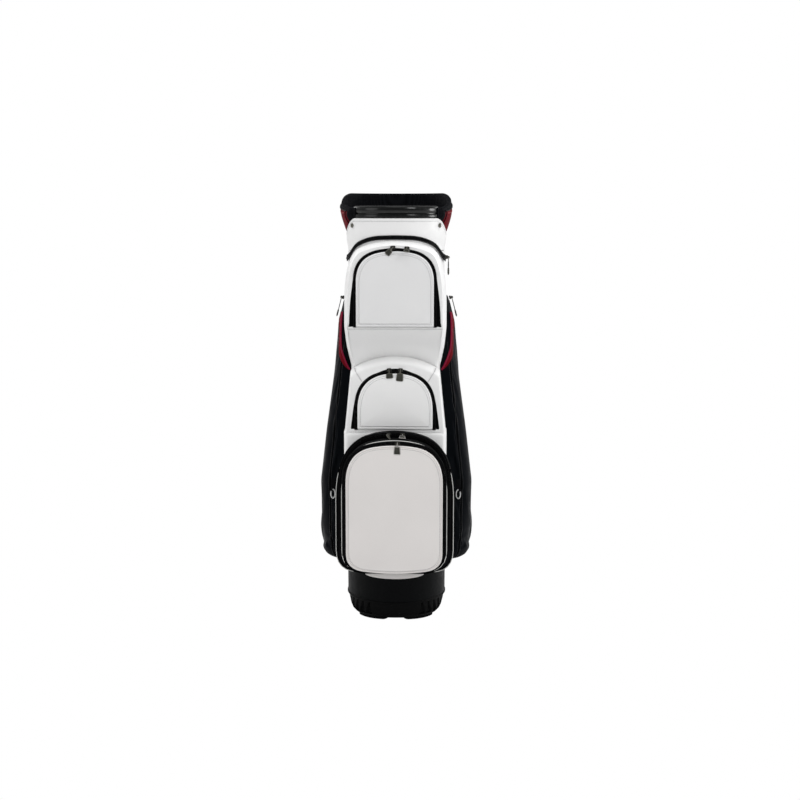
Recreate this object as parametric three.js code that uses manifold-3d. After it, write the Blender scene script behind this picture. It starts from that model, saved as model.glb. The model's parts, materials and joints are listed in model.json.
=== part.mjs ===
// Golf staff bag with zipped front pockets, side pockets, a club divider top and a shoulder strap.
// Millimetres. +Z is up, the zipped pockets face -Y, and the origin is on the floor under the bag.
import * as THREE from 'three';
import { mergeVertices } from 'three/addons/utils/BufferGeometryUtils.js';
import Module from 'manifold-3d';

const wasm = await Module();
wasm.setup();

// ---------------------------------------------------------------- driving dimensions

const GAP = 0.4;                       // clearance between neighbouring pieces
const DEG = Math.PI / 180;
const ROUND = 18;                      // half the number of facets on a full ellipse

const TUBE = { a: 100, b: 108, wall: 3, z0: 40, z1: 866 };
const COVER = { a: 104.5, b: 112.5, z0: 331, z1: 795 };
const LOWER_COVER = { a: 108.5, b: 116, z0: 38, z1: 330 };
const BASE = { aTop: 105, bTop: 113, aFoot: 97, bFoot: 105, z0: 2.6, z1: 37.5, ribs: 6 };
const FOOT = { height: 2.2, inner: 0.7, outer: 0.97, front: [14, 62], rear: [150, 210] };
const STAY = { x: 73, y: 56, radius: 3.5, short: 6 };
const COLLAR = { z0: 796, zTop: 864, zSide: 835, aLow: 103.5, aHigh: 107, depthExtra: 8 };
const CUFF = { a: 101, b: 109, aIn: 92, bIn: 100, z0: 866.4, z1: 886 };
const LIP = { a: 105, b: 112, zTop: 890, turn: 53, groove: 2.5 };
const HOOD = {
  aIn: 101.4, bIn: 109.4, aTop: 122, bTop: 120,
  front: 54, zFront: 884, zCorner: 912, zBack: 918,
};
// The hood's rim rises behind its front edge: where each rise starts and how far it takes, in degrees.
const HOOD_RIM = { riseFrom: 24, riseOver: 47, crestFrom: 71, crestOver: 55 };
const SNAP = { degree: 59, z: 849, radius: 4.6, foot: 4, thick: 2, out: 1.6 };
const DIVIDER = { sheet: 3, bar: 9, barZ0: 868, barZ1: 882, rowY: 31, sheetZ0: 120 };

// Each zipped door is an arch: a shallow arc on top, wide shoulders and straight sides.
const UPPER = {
  half: 79, zBottom: 643.5, zTop: 797, arcRadius: 180,
  arcHalf: 30, shoulder: 52, yShell: -160,
};
const MID = { half: 77, zBottom: 428.5, zTop: 544, arcRadius: 120, arcHalf: 28, shoulder: 62, yShell: -146 };
const BALL_PANEL = {
  half: 99, zBottom: 141, zTop: 408, arcRadius: 260,
  arcHalf: 42, shoulder: 66, corner: 34,
};
const BALL_FRONT = {
  half: 108, zBottom: 131, zTop: 418, arcRadius: 270,
  arcHalf: 46, shoulder: 72, corner: 40,
};
const BALL_REAR = {
  half: 124, zBottom: 118, zTop: 426, arcRadius: 280,
  arcHalf: 52, shoulder: 84, corner: 30,
};
const BALL_Y = { rear: -188, front: -229, panel: -235 };
const DOOR_THICKNESS = 4.6;
const WALL = 4;

// Side pockets: half-width of the bag's outline at each height.
const SIDE_OUTLINE = [
  [112, 128], [120, 150], [140, 162], [200, 168], [300, 169],
  [423, 154], [530, 139], [636, 127], [668, 119], [700, 111],
];
const SIDE = { yFront: -90, yRear: 78, xCentre: 62, recedeFrom: 545, yTip: 18 };

const SIDE_ZIP = { x: 113.8, z: 692, lean: 14.5 };
const HOOD_ZIP = { degree: 72, z: 782 };

const HOOK = { x: 134, y: -95, z: 281, radius: 8, wire: 1.5, narrow: 0.7, tall: 1.5 };

const STRAP = { x: 28, yAxis: 141, zUpper: 772, zLower: 350, bow: 42, padWidth: 54, webWidth: 36 };
const RING = { radius: 11, wire: 2.2, y: 130 };
const STRAP_HOOK = { radius: 9.5, wire: 2.2, shank: 10, shankAt: 15.5 };
const TAB = { width: 12, depth: 24, height: 22, y: 115, slot: 10, ySlot: 119.6 };
const HANDLE = { degree: 208.6, z0: 470, z1: 610, bow: 34, width: 26, thick: 8, stand: 7 };

// ---------------------------------------------------------------- materials

function material(color, roughness, metalness = 0) {
  return new THREE.MeshStandardMaterial({ color, roughness, metalness });
}

const WHITE_PU = material(0xdcdcdc, 0.45);
const BLACK_PU = material(0x0b0e10, 0.5);
const NYLON = material(0x14161b, 0.6);
const RED_PU = material(0x7b2129, 0.5);
const GLOSS = material(0x0a0b0d, 0.15);
const RUBBER = material(0x101112, 0.85);
const METAL = material(0x3c3c3e, 0.35, 0.9);
const LINING = material(0x1b1c20, 0.9);

const bag = new THREE.Group();

function add(name, geometry, finish, parent = bag) {
  const mesh = new THREE.Mesh(geometry, finish);
  mesh.name = name;
  parent.add(mesh);
  return mesh;
}

// ---------------------------------------------------------------- solids, joins and cuts

function bare(geometry) {
  const copy = geometry.clone();
  copy.deleteAttribute('normal');
  copy.deleteAttribute('uv');
  return mergeVertices(copy, 1e-4);
}

function solid(geometry) {
  const merged = bare(geometry);
  const vertProperties = new Float32Array(merged.attributes.position.array);
  const triVerts = new Uint32Array(merged.index.array);
  return new wasm.Manifold(new wasm.Mesh({ numProp: 3, vertProperties, triVerts }));
}

function asGeometry(body) {
  const mesh = body.getMesh();
  const geometry = new THREE.BufferGeometry();
  geometry.setAttribute('position', new THREE.BufferAttribute(new Float32Array(mesh.vertProperties), 3));
  geometry.setIndex(new THREE.BufferAttribute(new Uint32Array(mesh.triVerts), 1));
  return geometry;
}

const join = (...geometries) => geometries.map(solid).reduce((sum, next) => sum.add(next));
const cut = (body, ...geometries) => geometries.map(solid).reduce((rest, next) => rest.subtract(next), body);
const common = (...geometries) => geometries.map(solid).reduce((rest, next) => rest.intersect(next));

const mix = (low, high, t) => low + (high - low) * t;
const clamp01 = (t) => Math.min(1, Math.max(0, t));
const smooth = (t) => clamp01(t) ** 2 * (3 - 2 * clamp01(t));

// A point on an ellipse around the bag: 0 degrees is the front (-Y), 90 degrees is +X.
function around(a, b, degree, z) {
  return new THREE.Vector3(a * Math.sin(degree * DEG), -b * Math.cos(degree * DEG), z);
}

// ---------------------------------------------------------------- shape helpers

function ellipseShape(a, b) {
  const shape = new THREE.Shape();
  shape.absellipse(0, 0, a, b, 0, 2 * Math.PI);
  return shape;
}

function upright(shape, z0, z1) {
  const options = { depth: z1 - z0, bevelEnabled: false, curveSegments: ROUND };
  return new THREE.ExtrudeGeometry(shape, options).translate(0, 0, z0);
}

function ellipseRing(outer, inner, z0, z1) {
  const shape = ellipseShape(outer.a, outer.b);
  shape.holes.push(ellipseShape(inner.a, inner.b));
  return upright(shape, z0, z1);
}

// A shape drawn in (x, z), given thickness from yBack forward to yFront.
function frontPlate(shape, yBack, yFront) {
  const options = { depth: yBack - yFront, bevelEnabled: false, curveSegments: 5 };
  return new THREE.ExtrudeGeometry(shape, options).rotateX(Math.PI / 2).translate(0, yBack, 0);
}

// A side view drawn in (y, z), given width from -half to +half in X.
function sideBlock(points, half) {
  const shape = new THREE.Shape(points.map(([y, z]) => new THREE.Vector2(y, z)));
  const plate = new THREE.ExtrudeGeometry(shape, { depth: 2 * half, bevelEnabled: false });
  return plate.rotateX(Math.PI / 2).rotateZ(Math.PI / 2).translate(-half, 0, 0);
}

function polygon(points) {
  return new THREE.Shape(points.map(([x, y]) => new THREE.Vector2(x, y)));
}

function arch({ half, zBottom, zTop, arcRadius, arcHalf, shoulder, corner = 0 }, inset = 0) {
  const side = half - inset;
  const bottom = zBottom + inset;
  const radius = arcRadius - inset;
  const centre = zTop - arcRadius;
  const beta = Math.asin(arcHalf / arcRadius);
  const endX = radius * Math.sin(beta);
  const endZ = centre + radius * Math.cos(beta);
  const knee = endZ - (side - endX) * Math.tan(beta);
  const shape = new THREE.Shape();
  shape.moveTo(-side + corner, bottom);
  shape.lineTo(side - corner, bottom);
  if (corner) shape.quadraticCurveTo(side, bottom, side, bottom + corner);
  shape.lineTo(side, knee - shoulder);
  shape.quadraticCurveTo(side, knee, endX, endZ);
  shape.absarc(0, centre, radius, Math.PI / 2 - beta, Math.PI / 2 + beta, false);
  shape.quadraticCurveTo(-side, knee, -side, knee - shoulder);
  shape.lineTo(-side, bottom + corner);
  if (corner) shape.quadraticCurveTo(-side, bottom, -side + corner, bottom);
  return shape;
}

// A box whose unit coordinates are mapped to a curved sheet: u along, v up, w outwards.
function sheet(nu, nv, map) {
  const geometry = bare(new THREE.BoxGeometry(1, 1, 1, nu, nv, 1));
  const place = geometry.attributes.position;
  for (let i = 0; i < place.count; i += 1) {
    const point = map(place.getX(i) + 0.5, place.getY(i) + 0.5, place.getZ(i) + 0.5);
    place.setXYZ(i, point.x, point.y, point.z);
  }
  return geometry;
}

// The same around the bag from degree0 to degree1. Its joints fall on the facets of a full ellipse,
// so that concentric pieces keep an even gap.
function wrap(degree0, degree1, nv, map) {
  const step = 180 / ROUND;
  const inside = [];
  for (let k = Math.floor(degree0 / step) + 1; k * step < degree1 - 0.01; k += 1) inside.push(k * step);
  const degrees = [degree0, ...inside, degree1];
  const last = degrees.length - 1;
  return sheet(last, nv, (u, v, w) => map(degrees[Math.round(u * last)], v, w));
}

// A part of the bag's skin between two angles.
function skin(degree0, degree1, z0, z1, inner, outer) {
  return wrap(degree0, degree1, 1, (degree, v, w) => {
    const ring = w ? outer : inner;
    return around(ring.a, ring.b, degree, mix(z0, z1, v));
  });
}

// A pouch lofted through superellipse sections, stacked in Z.
function pouch(sections, power, segments) {
  const column = new THREE.CylinderGeometry(1, 1, 1, segments, sections.length - 1).rotateX(Math.PI / 2);
  const geometry = bare(column);
  const place = geometry.attributes.position;
  const bulge = (value) => Math.sign(value) * Math.abs(value) ** (2 / power);
  for (let i = 0; i < place.count; i += 1) {
    const row = Math.round((place.getZ(i) + 0.5) * (sections.length - 1));
    const { x, y, a, b, z } = sections[row];
    place.setXYZ(i, x + a * bulge(place.getX(i)), y + b * bulge(place.getY(i)), z);
  }
  return geometry;
}

// ---------------------------------------------------------------- base and body

function baseCup() {
  const flare = pouch([
    { x: 0, y: 0, a: BASE.aFoot - 6, b: BASE.bFoot - 6, z: BASE.z0 },
    { x: 0, y: 0, a: BASE.aFoot, b: BASE.bFoot, z: BASE.z0 + 5 },
    { x: 0, y: 0, a: BASE.aTop - 2, b: BASE.bTop - 2, z: BASE.z1 - 8 },
    { x: 0, y: 0, a: BASE.aTop, b: BASE.bTop, z: BASE.z1 },
  ], 2, 2 * ROUND);
  const pad = new THREE.CylinderGeometry(26, 26, 8, 16).rotateX(Math.PI / 2).translate(0, 0, 4);
  const ribs = [];
  for (const side of [-1, 1]) {
    for (let i = 0; i < BASE.ribs; i += 1) {
      const degree = side * (36 + 9 * i);
      const root = around(BASE.aTop - 5, BASE.bTop - 5, degree, 0);
      const rib = sideBlock([[2, 6], [-6.5, 10], [-8, 32], [2, 32]], 2.4);
      ribs.push(rib.rotateZ(degree * DEG).translate(root.x, root.y, 0));
    }
  }
  return asGeometry(join(flare, pad, ...ribs));
}

function foot(degree0, degree1) {
  const inner = { a: BASE.aFoot * FOOT.inner, b: BASE.bFoot * FOOT.inner };
  const outer = { a: BASE.aFoot * FOOT.outer - 4, b: BASE.bFoot * FOOT.outer - 4 };
  return skin(degree0, degree1, 0, FOOT.height, inner, outer);
}

// The black back of the bag runs up under the hood.
function rearCover(back) {
  return wrap(100.4, 259.6, 2, (degree, v, w) => {
    const ring = w ? COVER : back;
    return around(ring.a, ring.b, degree, [COVER.z0, COVER.z1, COLLAR.zSide][Math.round(v * 2)]);
  });
}

function buildBody() {
  const inner = { a: TUBE.a - TUBE.wall, b: TUBE.b - TUBE.wall };
  const back = { a: TUBE.a + GAP, b: TUBE.b + GAP };
  add('base_cup', baseCup(), RUBBER);
  add('foot_left', foot(-FOOT.front[1], -FOOT.front[0]), RUBBER);
  add('foot_right', foot(...FOOT.front), RUBBER);
  add('foot_rear', foot(...FOOT.rear), RUBBER);
  add('body_tube', ellipseRing(TUBE, inner, TUBE.z0, TUBE.z1), LINING);
  add('lower_cover', ellipseRing(LOWER_COVER, back, LOWER_COVER.z0, LOWER_COVER.z1), BLACK_PU);
  add('front_cover', skin(-100, 100, COVER.z0, COVER.z1, back, COVER), WHITE_PU);
  add('rear_cover', rearCover(back), BLACK_PU);
  for (const [name, side] of [['stay_left', -1], ['stay_right', 1]]) {
    const rod = new THREE.CylinderGeometry(STAY.radius, STAY.radius, TUBE.z1 - TUBE.z0 - STAY.short, 8);
    add(name, rod.rotateX(Math.PI / 2).translate(side * STAY.x, STAY.y, (TUBE.z0 + TUBE.z1) / 2), METAL);
  }
}

// ---------------------------------------------------------------- mouth: collar, cuff, hood, dividers

const collarTop = (degree) => mix(COLLAR.zTop, COLLAR.zSide, smooth((Math.abs(degree) - 54) / 36));

function collarRing(v) {
  const a = mix(COLLAR.aLow, COLLAR.aHigh, smooth(v * 1.5));
  return { a, b: a + COLLAR.depthExtra };
}

function collar() {
  return wrap(-99.6, 99.6, 2, (degree, v, w) => {
    const ring = w ? collarRing(v) : { a: TUBE.a + GAP, b: TUBE.b + GAP };
    return around(ring.a, ring.b, degree, mix(COLLAR.z0, collarTop(degree), v));
  });
}

function cuff() {
  const ring = ellipseRing(CUFF, { a: CUFF.aIn, b: CUFF.bIn }, CUFF.z0, CUFF.z1);
  const lip = wrap(-LIP.turn, LIP.turn, 3, (degree, v, w) => {
    const groove = v > 0.2 && v < 0.5 ? LIP.groove : 0;
    const a = w ? LIP.a - groove : CUFF.aIn + 4;
    const b = w ? LIP.b - groove : CUFF.bIn + 4;
    return around(a, b, degree, mix(CUFF.z0, LIP.zTop, v));
  });
  return asGeometry(join(ring, lip));
}

function hood() {
  const { front } = HOOD;
  return wrap(front, 360 - front, 3, (degree, v, w) => {
    const fromFront = Math.min(degree, 360 - degree) - front;
    const low = collarTop(fromFront + front) + 1.2;
    const corner = smooth((fromFront - HOOD_RIM.riseFrom) / HOOD_RIM.riseOver);
    const crest = smooth((fromFront - HOOD_RIM.crestFrom) / HOOD_RIM.crestOver);
    const top = mix(HOOD.zFront, HOOD.zCorner, corner) + (HOOD.zBack - HOOD.zCorner) * crest;
    const flare = smooth(v) * smooth(fromFront / 30);
    const thick = mix(5.5, 9, v);
    const a = mix(HOOD.aIn, HOOD.aTop - thick, flare) + w * thick;
    const b = mix(HOOD.bIn, HOOD.bTop - thick, flare) + w * thick;
    return around(a, b, degree, mix(low, top, v));
  });
}

function dividerFrame() {
  const { bar, barZ0, barZ1, rowY } = DIVIDER;
  const height = barZ1 - barZ0;
  const middle = (barZ0 + barZ1) / 2;
  const box = (w, d, x, y) => new THREE.BoxGeometry(w, d, height).translate(x, y, middle);
  const bars = join(box(bar, 240, 0, 0), box(240, bar, 0, -rowY), box(240, bar, 0, rowY));
  return asGeometry(bars.intersect(solid(upright(ellipseShape(CUFF.aIn - GAP, CUFF.bIn - GAP), 860, 890))));
}

function dividerSheets() {
  const { sheet: thick, rowY, sheetZ0, barZ0 } = DIVIDER;
  const height = barZ0 - GAP - sheetZ0;
  const box = (w, d, x, y) => new THREE.BoxGeometry(w, d, height).translate(x, y, sheetZ0 + height / 2);
  const walls = join(box(thick, 240, 0, 0), box(240, thick, 0, -rowY), box(240, thick, 0, rowY));
  const bore = upright(ellipseShape(CUFF.aIn - GAP, CUFF.bIn - GAP), 100, 880);
  return asGeometry(walls.intersect(solid(bore)));
}

// The zipped band that the rain hood fastens to, arched over the neck.
const bandHeight = (degree) => mix(825, 777, smooth(Math.abs(degree) / 84));

function hoodBand() {
  return wrap(-76, 76, 1, (degree, v, w) => {
    const a = COLLAR.aHigh + (w ? 3 : GAP);
    return around(a, a + COLLAR.depthExtra, degree, bandHeight(degree) + mix(-4, 4, v));
  });
}

function snap(side) {
  const degree = side * SNAP.degree;
  const a = COLLAR.aHigh + SNAP.out;
  const centre = around(a, a + COLLAR.depthExtra, degree, SNAP.z);
  const stud = new THREE.CylinderGeometry(SNAP.radius, SNAP.foot, SNAP.thick, 12);
  return stud.rotateZ(degree * DEG - Math.PI).translate(centre.x, centre.y, centre.z);
}

function buildMouth() {
  add('collar_cover', collar(), WHITE_PU);
  add('top_cuff', cuff(), GLOSS);
  add('rear_hood', hood(), RED_PU);
  add('divider_frame', dividerFrame(), BLACK_PU);
  add('divider_sheets', dividerSheets(), LINING);
  add('hood_zip_band', hoodBand(), NYLON);
  add('snap_left', snap(-1), METAL);
  add('snap_right', snap(1), METAL);
}

// ---------------------------------------------------------------- front pockets

const bodyCore = (grow) => upright(ellipseShape(COVER.a + grow, COVER.b + grow), 300, 900);
const lowerCore = (grow) => upright(ellipseShape(LOWER_COVER.a + grow, LOWER_COVER.b + grow), 0, 336);

// A closed outline symmetric about x = 0, given as its right half from bottom to top.
function mirrored(half) {
  const left = half.filter(([x]) => x > 0).reverse().map(([x, y]) => [-x, y]);
  return polygon([...half, ...left]);
}

// A pocket door closes the opening of the shell behind it.
function door(opening) {
  const back = opening.yShell - GAP;
  return frontPlate(arch(opening), back, back - DOOR_THICKNESS);
}

// Upper pocket: white shell with a flat front, a sloped top and an underside that slopes back.
function upperShell() {
  const outline = mirrored([[95, 556], [104, 600], [107, 640], [102, 770], [78, 795], [45, 810], [0, 815]]);
  const profile = [[-40, 556], [-100, 556], [-160, 640], [-160, 806], [-152, 812], [-40, 816]];
  const plan = mirrored([[98, -160], [104, -136], [108, -112], [108, -40]]);
  const body = common(frontPlate(outline, -40, -170), sideBlock(profile, 120), upright(plan, 540, 830));
  const cavity = frontPlate(arch(UPPER, 6), -121, -175);
  const ring = ellipseShape(COLLAR.aHigh + GAP, COLLAR.aHigh + COLLAR.depthExtra + GAP);
  const neck = upright(ring, COVER.z1, 900);
  return asGeometry(cut(body, cavity, bodyCore(GAP), neckGuard(), neck));
}

// Keeps the upper pocket clear of the flared collar and the hood band above it.
function neckGuard() {
  return wrap(-110, 110, 1, (degree, v, w) => {
    const grow = w ? 22 : -30;
    return around(COVER.a + grow, COVER.b + grow, degree, mix(bandHeight(degree) - 5, 860, v));
  });
}

function midShell() {
  const outline = mirrored([[107, 335], [107, 417], [94, 535], [91, 556], [60, 567], [0, 572]]);
  const profile = [[-40, 335], [-146, 335], [-146, 558], [-136, 566], [-110, 573], [-40, 573]];
  const body = common(frontPlate(outline, -40, -170), sideBlock(profile, 120));
  const cavity = frontPlate(arch(MID, 6), -122, -160);
  const underUpper = sideBlock([[-30, 552], [-101, 552], [-160, 634], [-170, 700], [-30, 700]], 130);
  return asGeometry(cut(body, cavity, bodyCore(GAP), underUpper));
}

function ballRear() {
  const profile = [[-40, 118], [-188, 118], [-188, 426], [-146.6, 426], [-146.6, 334.5], [-40, 334.5]];
  const plan = mirrored([[124, -188], [124, -100], [106, -95], [106, -40]]);
  const plate = frontPlate(arch(BALL_REAR), -40, -188);
  const body = common(plate, sideBlock(profile, 130), upright(plan, 100, 440));
  const cavity = frontPlate(arch(BALL_FRONT, 6), -152, -200);
  return asGeometry(cut(body, cavity, lowerCore(GAP)));
}

function ballFront() {
  const body = solid(frontPlate(arch(BALL_FRONT), BALL_Y.rear - GAP, BALL_Y.front));
  return asGeometry(cut(body, frontPlate(arch(BALL_PANEL, 6), BALL_Y.rear - GAP - WALL, BALL_Y.front - 5)));
}

function buildFrontPockets() {
  add('upper_pocket_shell', upperShell(), WHITE_PU);
  add('upper_pocket_door', door(UPPER), WHITE_PU);
  add('mid_pocket_shell', midShell(), WHITE_PU);
  add('mid_pocket_door', door(MID), WHITE_PU);
  add('ball_pocket_rear', ballRear(), NYLON);
  add('ball_pocket_front', ballFront(), NYLON);
  add('ball_pocket_panel', frontPlate(arch(BALL_PANEL), BALL_Y.front - GAP, BALL_Y.panel), WHITE_PU);
}

// ---------------------------------------------------------------- side pockets

function sideSections(side) {
  return SIDE_OUTLINE.map(([z, width]) => {
    const recede = smooth((z - SIDE.recedeFrom) / (700 - SIDE.recedeFrom));
    const yFront = mix(SIDE.yFront, SIDE.yTip - 30, recede);
    const yRear = mix(SIDE.yRear, SIDE.yTip + 30, recede);
    const shrink = mix(12, 0, smooth((z - SIDE_OUTLINE[0][0]) / 40));
    return {
      x: side * SIDE.xCentre,
      y: (yFront + yRear) / 2,
      a: width - SIDE.xCentre,
      b: (yRear - yFront) / 2 - shrink,
      z,
    };
  });
}

function sidePocket(side) {
  const blocker = new THREE.BoxGeometry(2 * (COVER.a - 20), 300, 700).translate(0, 0, 420);
  const shellZone = sideBlock([[-40, 100], [-40, 700], [-170, 700], [-170, 100]], 107 + GAP);
  const blank = solid(pouch(sideSections(side), 3.2, 28));
  const pocket = cut(blank, blocker, bodyCore(GAP), lowerCore(GAP), shellZone);
  const parts = pocket.decompose().sort((p, q) => q.volume() - p.volume());
  return asGeometry(parts[0]);
}

function buildSidePockets() {
  add('side_pocket_left', sidePocket(-1), NYLON);
  add('side_pocket_right', sidePocket(1), NYLON);
}

// ---------------------------------------------------------------- zip sliders and pulls

const SLIDER = { width: 9, height: 6.6, thick: 4.6, lug: 3.2, pinRadius: 1.1 };
const PIN_OUT = SLIDER.thick + 2;

// Drawn facing +Z: the tape runs along X and the pull hangs towards -Y from a pin between two lugs.
function sliderBody(yaw) {
  const { width, height, thick, lug } = SLIDER;
  const plate = new THREE.BoxGeometry(width, height, thick).translate(0, 0, thick / 2);
  const ears = [-1, 1].map((s) => {
    const ear = new THREE.BoxGeometry(1.3, 3.4, 3.6);
    return ear.translate(s * (lug + 0.65), 0, thick + 1.6).rotateZ(yaw);
  });
  return asGeometry(join(plate, ...ears));
}

function pullTab(length, width) {
  const pin = new THREE.CylinderGeometry(SLIDER.pinRadius, SLIDER.pinRadius, 5.4, 8).rotateZ(Math.PI / 2);
  const tab = new THREE.Shape();
  tab.moveTo(-1.8, 0);
  tab.lineTo(-1.8, -5);
  tab.lineTo(-width / 2, -9);
  tab.lineTo(-width / 2, -length + 2);
  tab.quadraticCurveTo(-width / 2, -length, -width / 2 + 2, -length);
  tab.lineTo(width / 2 - 2, -length);
  tab.quadraticCurveTo(width / 2, -length, width / 2, -length + 2);
  tab.lineTo(width / 2, -9);
  tab.lineTo(1.8, -5);
  tab.lineTo(1.8, 0);
  const plate = new THREE.ExtrudeGeometry(tab, { depth: 1.4, bevelEnabled: false, curveSegments: 2 });
  return asGeometry(join(pin, plate.translate(0, 0, -0.7)));
}

// place: a group whose local +Z faces out of the zip. swing lifts the pull off the surface at rest.
function zip(name, place, { yaw = 0, swing = 0, length = 24, width = 8 } = {}) {
  add(`${name}_slider`, sliderBody(yaw), METAL, place);
  const hanging = new THREE.Group();
  hanging.position.set(0, 0, PIN_OUT);
  hanging.rotation.set(0, 0, yaw);
  const lifted = new THREE.Group();
  lifted.rotation.set(-swing, 0, 0);
  hanging.add(lifted);
  place.add(hanging);
  add(`${name}_pull`, pullTab(length, width), METAL, lifted);
}

// A frame standing at a point, with +Z along outward and +Y along up.
function frameAt(point, outward, up) {
  const place = new THREE.Group();
  const across = new THREE.Vector3().crossVectors(up, outward).normalize();
  const along = new THREE.Vector3().crossVectors(outward, across).normalize();
  place.position.copy(point);
  place.quaternion.setFromRotationMatrix(new THREE.Matrix4().makeBasis(across, along, outward.normalize()));
  bag.add(place);
  return place;
}

// A place on a front-facing arch zip: degree is measured from the top of the arch's arc.
function archPlace(opening, lift, yBack, degree) {
  const up = new THREE.Vector3(Math.sin(degree * DEG), 0, Math.cos(degree * DEG));
  const point = up.clone().multiplyScalar(opening.arcRadius + lift);
  point.add(new THREE.Vector3(0, yBack, opening.zTop - opening.arcRadius));
  return frameAt(point, new THREE.Vector3(0, -1, 0), up);
}

function sidePlace(side) {
  const lean = SIDE_ZIP.lean * DEG;
  const outward = new THREE.Vector3(side * Math.cos(lean), 0, Math.sin(lean));
  const up = new THREE.Vector3(-side * Math.sin(lean), 0, Math.cos(lean));
  return frameAt(new THREE.Vector3(side * SIDE_ZIP.x, SIDE.yTip, SIDE_ZIP.z), outward, up);
}

function neckPlace() {
  const a = COLLAR.aHigh + 3.6;
  const outward = around(1, 1, HOOD_ZIP.degree, 0);
  const spot = around(a, a + COLLAR.depthExtra, HOOD_ZIP.degree, HOOD_ZIP.z);
  return frameAt(spot, outward, new THREE.Vector3(0, 0, 1));
}

function buildZips() {
  const upperY = UPPER.yShell - GAP;
  const midY = MID.yShell - GAP;
  const outerY = BALL_Y.rear - GAP;
  const upperLeft = { yaw: -42 * DEG, length: 19, width: 11 };
  const upperRight = { swing: 70 * DEG, length: 20, width: 12 };
  const outerLeft = { yaw: -50 * DEG, swing: 92 * DEG, length: 32, width: 11 };
  const outerRight = { swing: 90 * DEG, length: 32, width: 12 };
  zip('upper_left', archPlace(UPPER, 8.5, upperY, -1.3), upperLeft);
  zip('upper_right', archPlace(UPPER, 8.5, upperY, 7.5), upperRight);
  zip('mid_left', archPlace(MID, 9, midY, -5.5), { length: 17, width: 14 });
  zip('mid_right', archPlace(MID, 9, midY, 5), { length: 23, width: 14 });
  zip('ball_outer_left', archPlace(BALL_FRONT, 5.2, outerY, -2.6), outerLeft);
  zip('ball_outer_right', archPlace(BALL_FRONT, 5.2, outerY, 3.4), outerRight);
  zip('ball_inner', archPlace(BALL_PANEL, 5, BALL_Y.front - GAP, 1.4), { length: 24, width: 14 });
  zip('side_left', sidePlace(-1), { length: 44, width: 7 });
  zip('side_right', sidePlace(1), { length: 44, width: 7 });
  zip('hood_zip', neckPlace(), { length: 38 });
}

// ---------------------------------------------------------------- side hooks

function buildHooks() {
  for (const [word, side] of [['left', -1], ['right', 1]]) {
    const hook = new THREE.TorusGeometry(HOOK.radius, HOOK.wire, 6, 14).scale(HOOK.narrow, HOOK.tall, 1);
    add(`hook_${word}`, hook.rotateX(Math.PI / 2).translate(side * HOOK.x, HOOK.y, HOOK.z), METAL);
  }
}

// ---------------------------------------------------------------- shoulder strap and carry handle

function strapPoint(t) {
  const bow = STRAP.bow * (1 - (2 * t - 1) ** 4);
  return new THREE.Vector3(STRAP.x, STRAP.yAxis + 4 + bow, mix(STRAP.zUpper - 24, STRAP.zLower + 24, t));
}

// A stretch of the strap between t0 and t1, standing out by lift from the strap's own line.
function strapLength(t0, t1, width, thick, lift, rows) {
  return sheet(1, rows, (u, v, w) => {
    const t = mix(t1, t0, v);
    const here = strapPoint(t);
    const ahead = strapPoint(t + 0.01).sub(strapPoint(t - 0.01)).normalize();
    const normal = new THREE.Vector3(0, -ahead.z, ahead.y);
    const x = here.x + mix(width / 2, -width / 2, u);
    const offset = lift + (w - 0.5) * thick;
    return new THREE.Vector3(x, here.y + normal.y * offset, here.z + normal.z * offset);
  });
}

function strapHook(z, direction) {
  const loop = new THREE.TorusGeometry(STRAP_HOOK.radius, STRAP_HOOK.wire, 8, 16).rotateY(Math.PI / 2);
  const shank = new THREE.BoxGeometry(7, 6, STRAP_HOOK.shank).translate(0, 0, direction * STRAP_HOOK.shankAt);
  return asGeometry(join(loop, shank)).translate(STRAP.x, STRAP.yAxis, z);
}

function ringTab(z) {
  const block = solid(new THREE.BoxGeometry(TAB.width, TAB.depth, TAB.height).translate(STRAP.x, TAB.y, z));
  const slot = new THREE.BoxGeometry(3 * TAB.width, TAB.slot, TAB.slot).translate(STRAP.x, TAB.ySlot, z);
  return asGeometry(cut(block, slot, upright(ellipseShape(COVER.a + GAP, COVER.b + GAP), 0, 900)));
}

function buildStrap() {
  for (const [word, z, direction] of [['upper', STRAP.zUpper, -1], ['lower', STRAP.zLower, 1]]) {
    add(`ring_tab_${word}`, ringTab(z), BLACK_PU);
    const ring = new THREE.TorusGeometry(RING.radius, RING.wire, 8, 20).translate(STRAP.x, RING.y, z);
    add(`strap_ring_${word}`, ring, METAL);
    add(`strap_hook_${word}`, strapHook(z, direction), METAL);
  }
  add('strap_web', strapLength(0, 1, STRAP.webWidth, 3, 0, 22), NYLON);
  add('strap_pad', strapLength(0.14, 0.72, STRAP.padWidth, 10, 7, 12), BLACK_PU);
  add('strap_buckle', strapLength(0.77, 0.83, STRAP.webWidth + 8, 4, 4, 2), METAL);
}

function buildHandle() {
  const { degree, z0, z1, bow, width, thick } = HANDLE;
  const root = around(COVER.a, COVER.b, degree, 0);
  const place = new THREE.Group();
  place.position.copy(root);
  place.rotation.z = Math.atan2(-root.x / COVER.a ** 2, root.y / COVER.b ** 2);
  bag.add(place);
  const grip = sheet(1, 12, (u, v, w) => {
    const turn = mix(0, Math.PI, v);
    const reach = bow - thick + thick * w;
    const half = (z1 - z0) / 2 - thick + thick * w;
    const z = (z0 + z1) / 2 - half * Math.cos(turn);
    const here = mix(width / 2, width, Math.sin(turn));
    return new THREE.Vector3(mix(here / 2, -here / 2, u), HANDLE.stand + reach * Math.sin(turn) ** 0.7, z);
  });
  add('carry_handle', grip, BLACK_PU, place);
  const inner = { a: COVER.a + GAP, b: COVER.b + GAP };
  const outer = { a: COVER.a + 3, b: COVER.b + 3 };
  add('handle_patch', skin(degree - 11, degree + 11, z0 - 16, z1 + 16, inner, outer), BLACK_PU);
}

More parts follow.
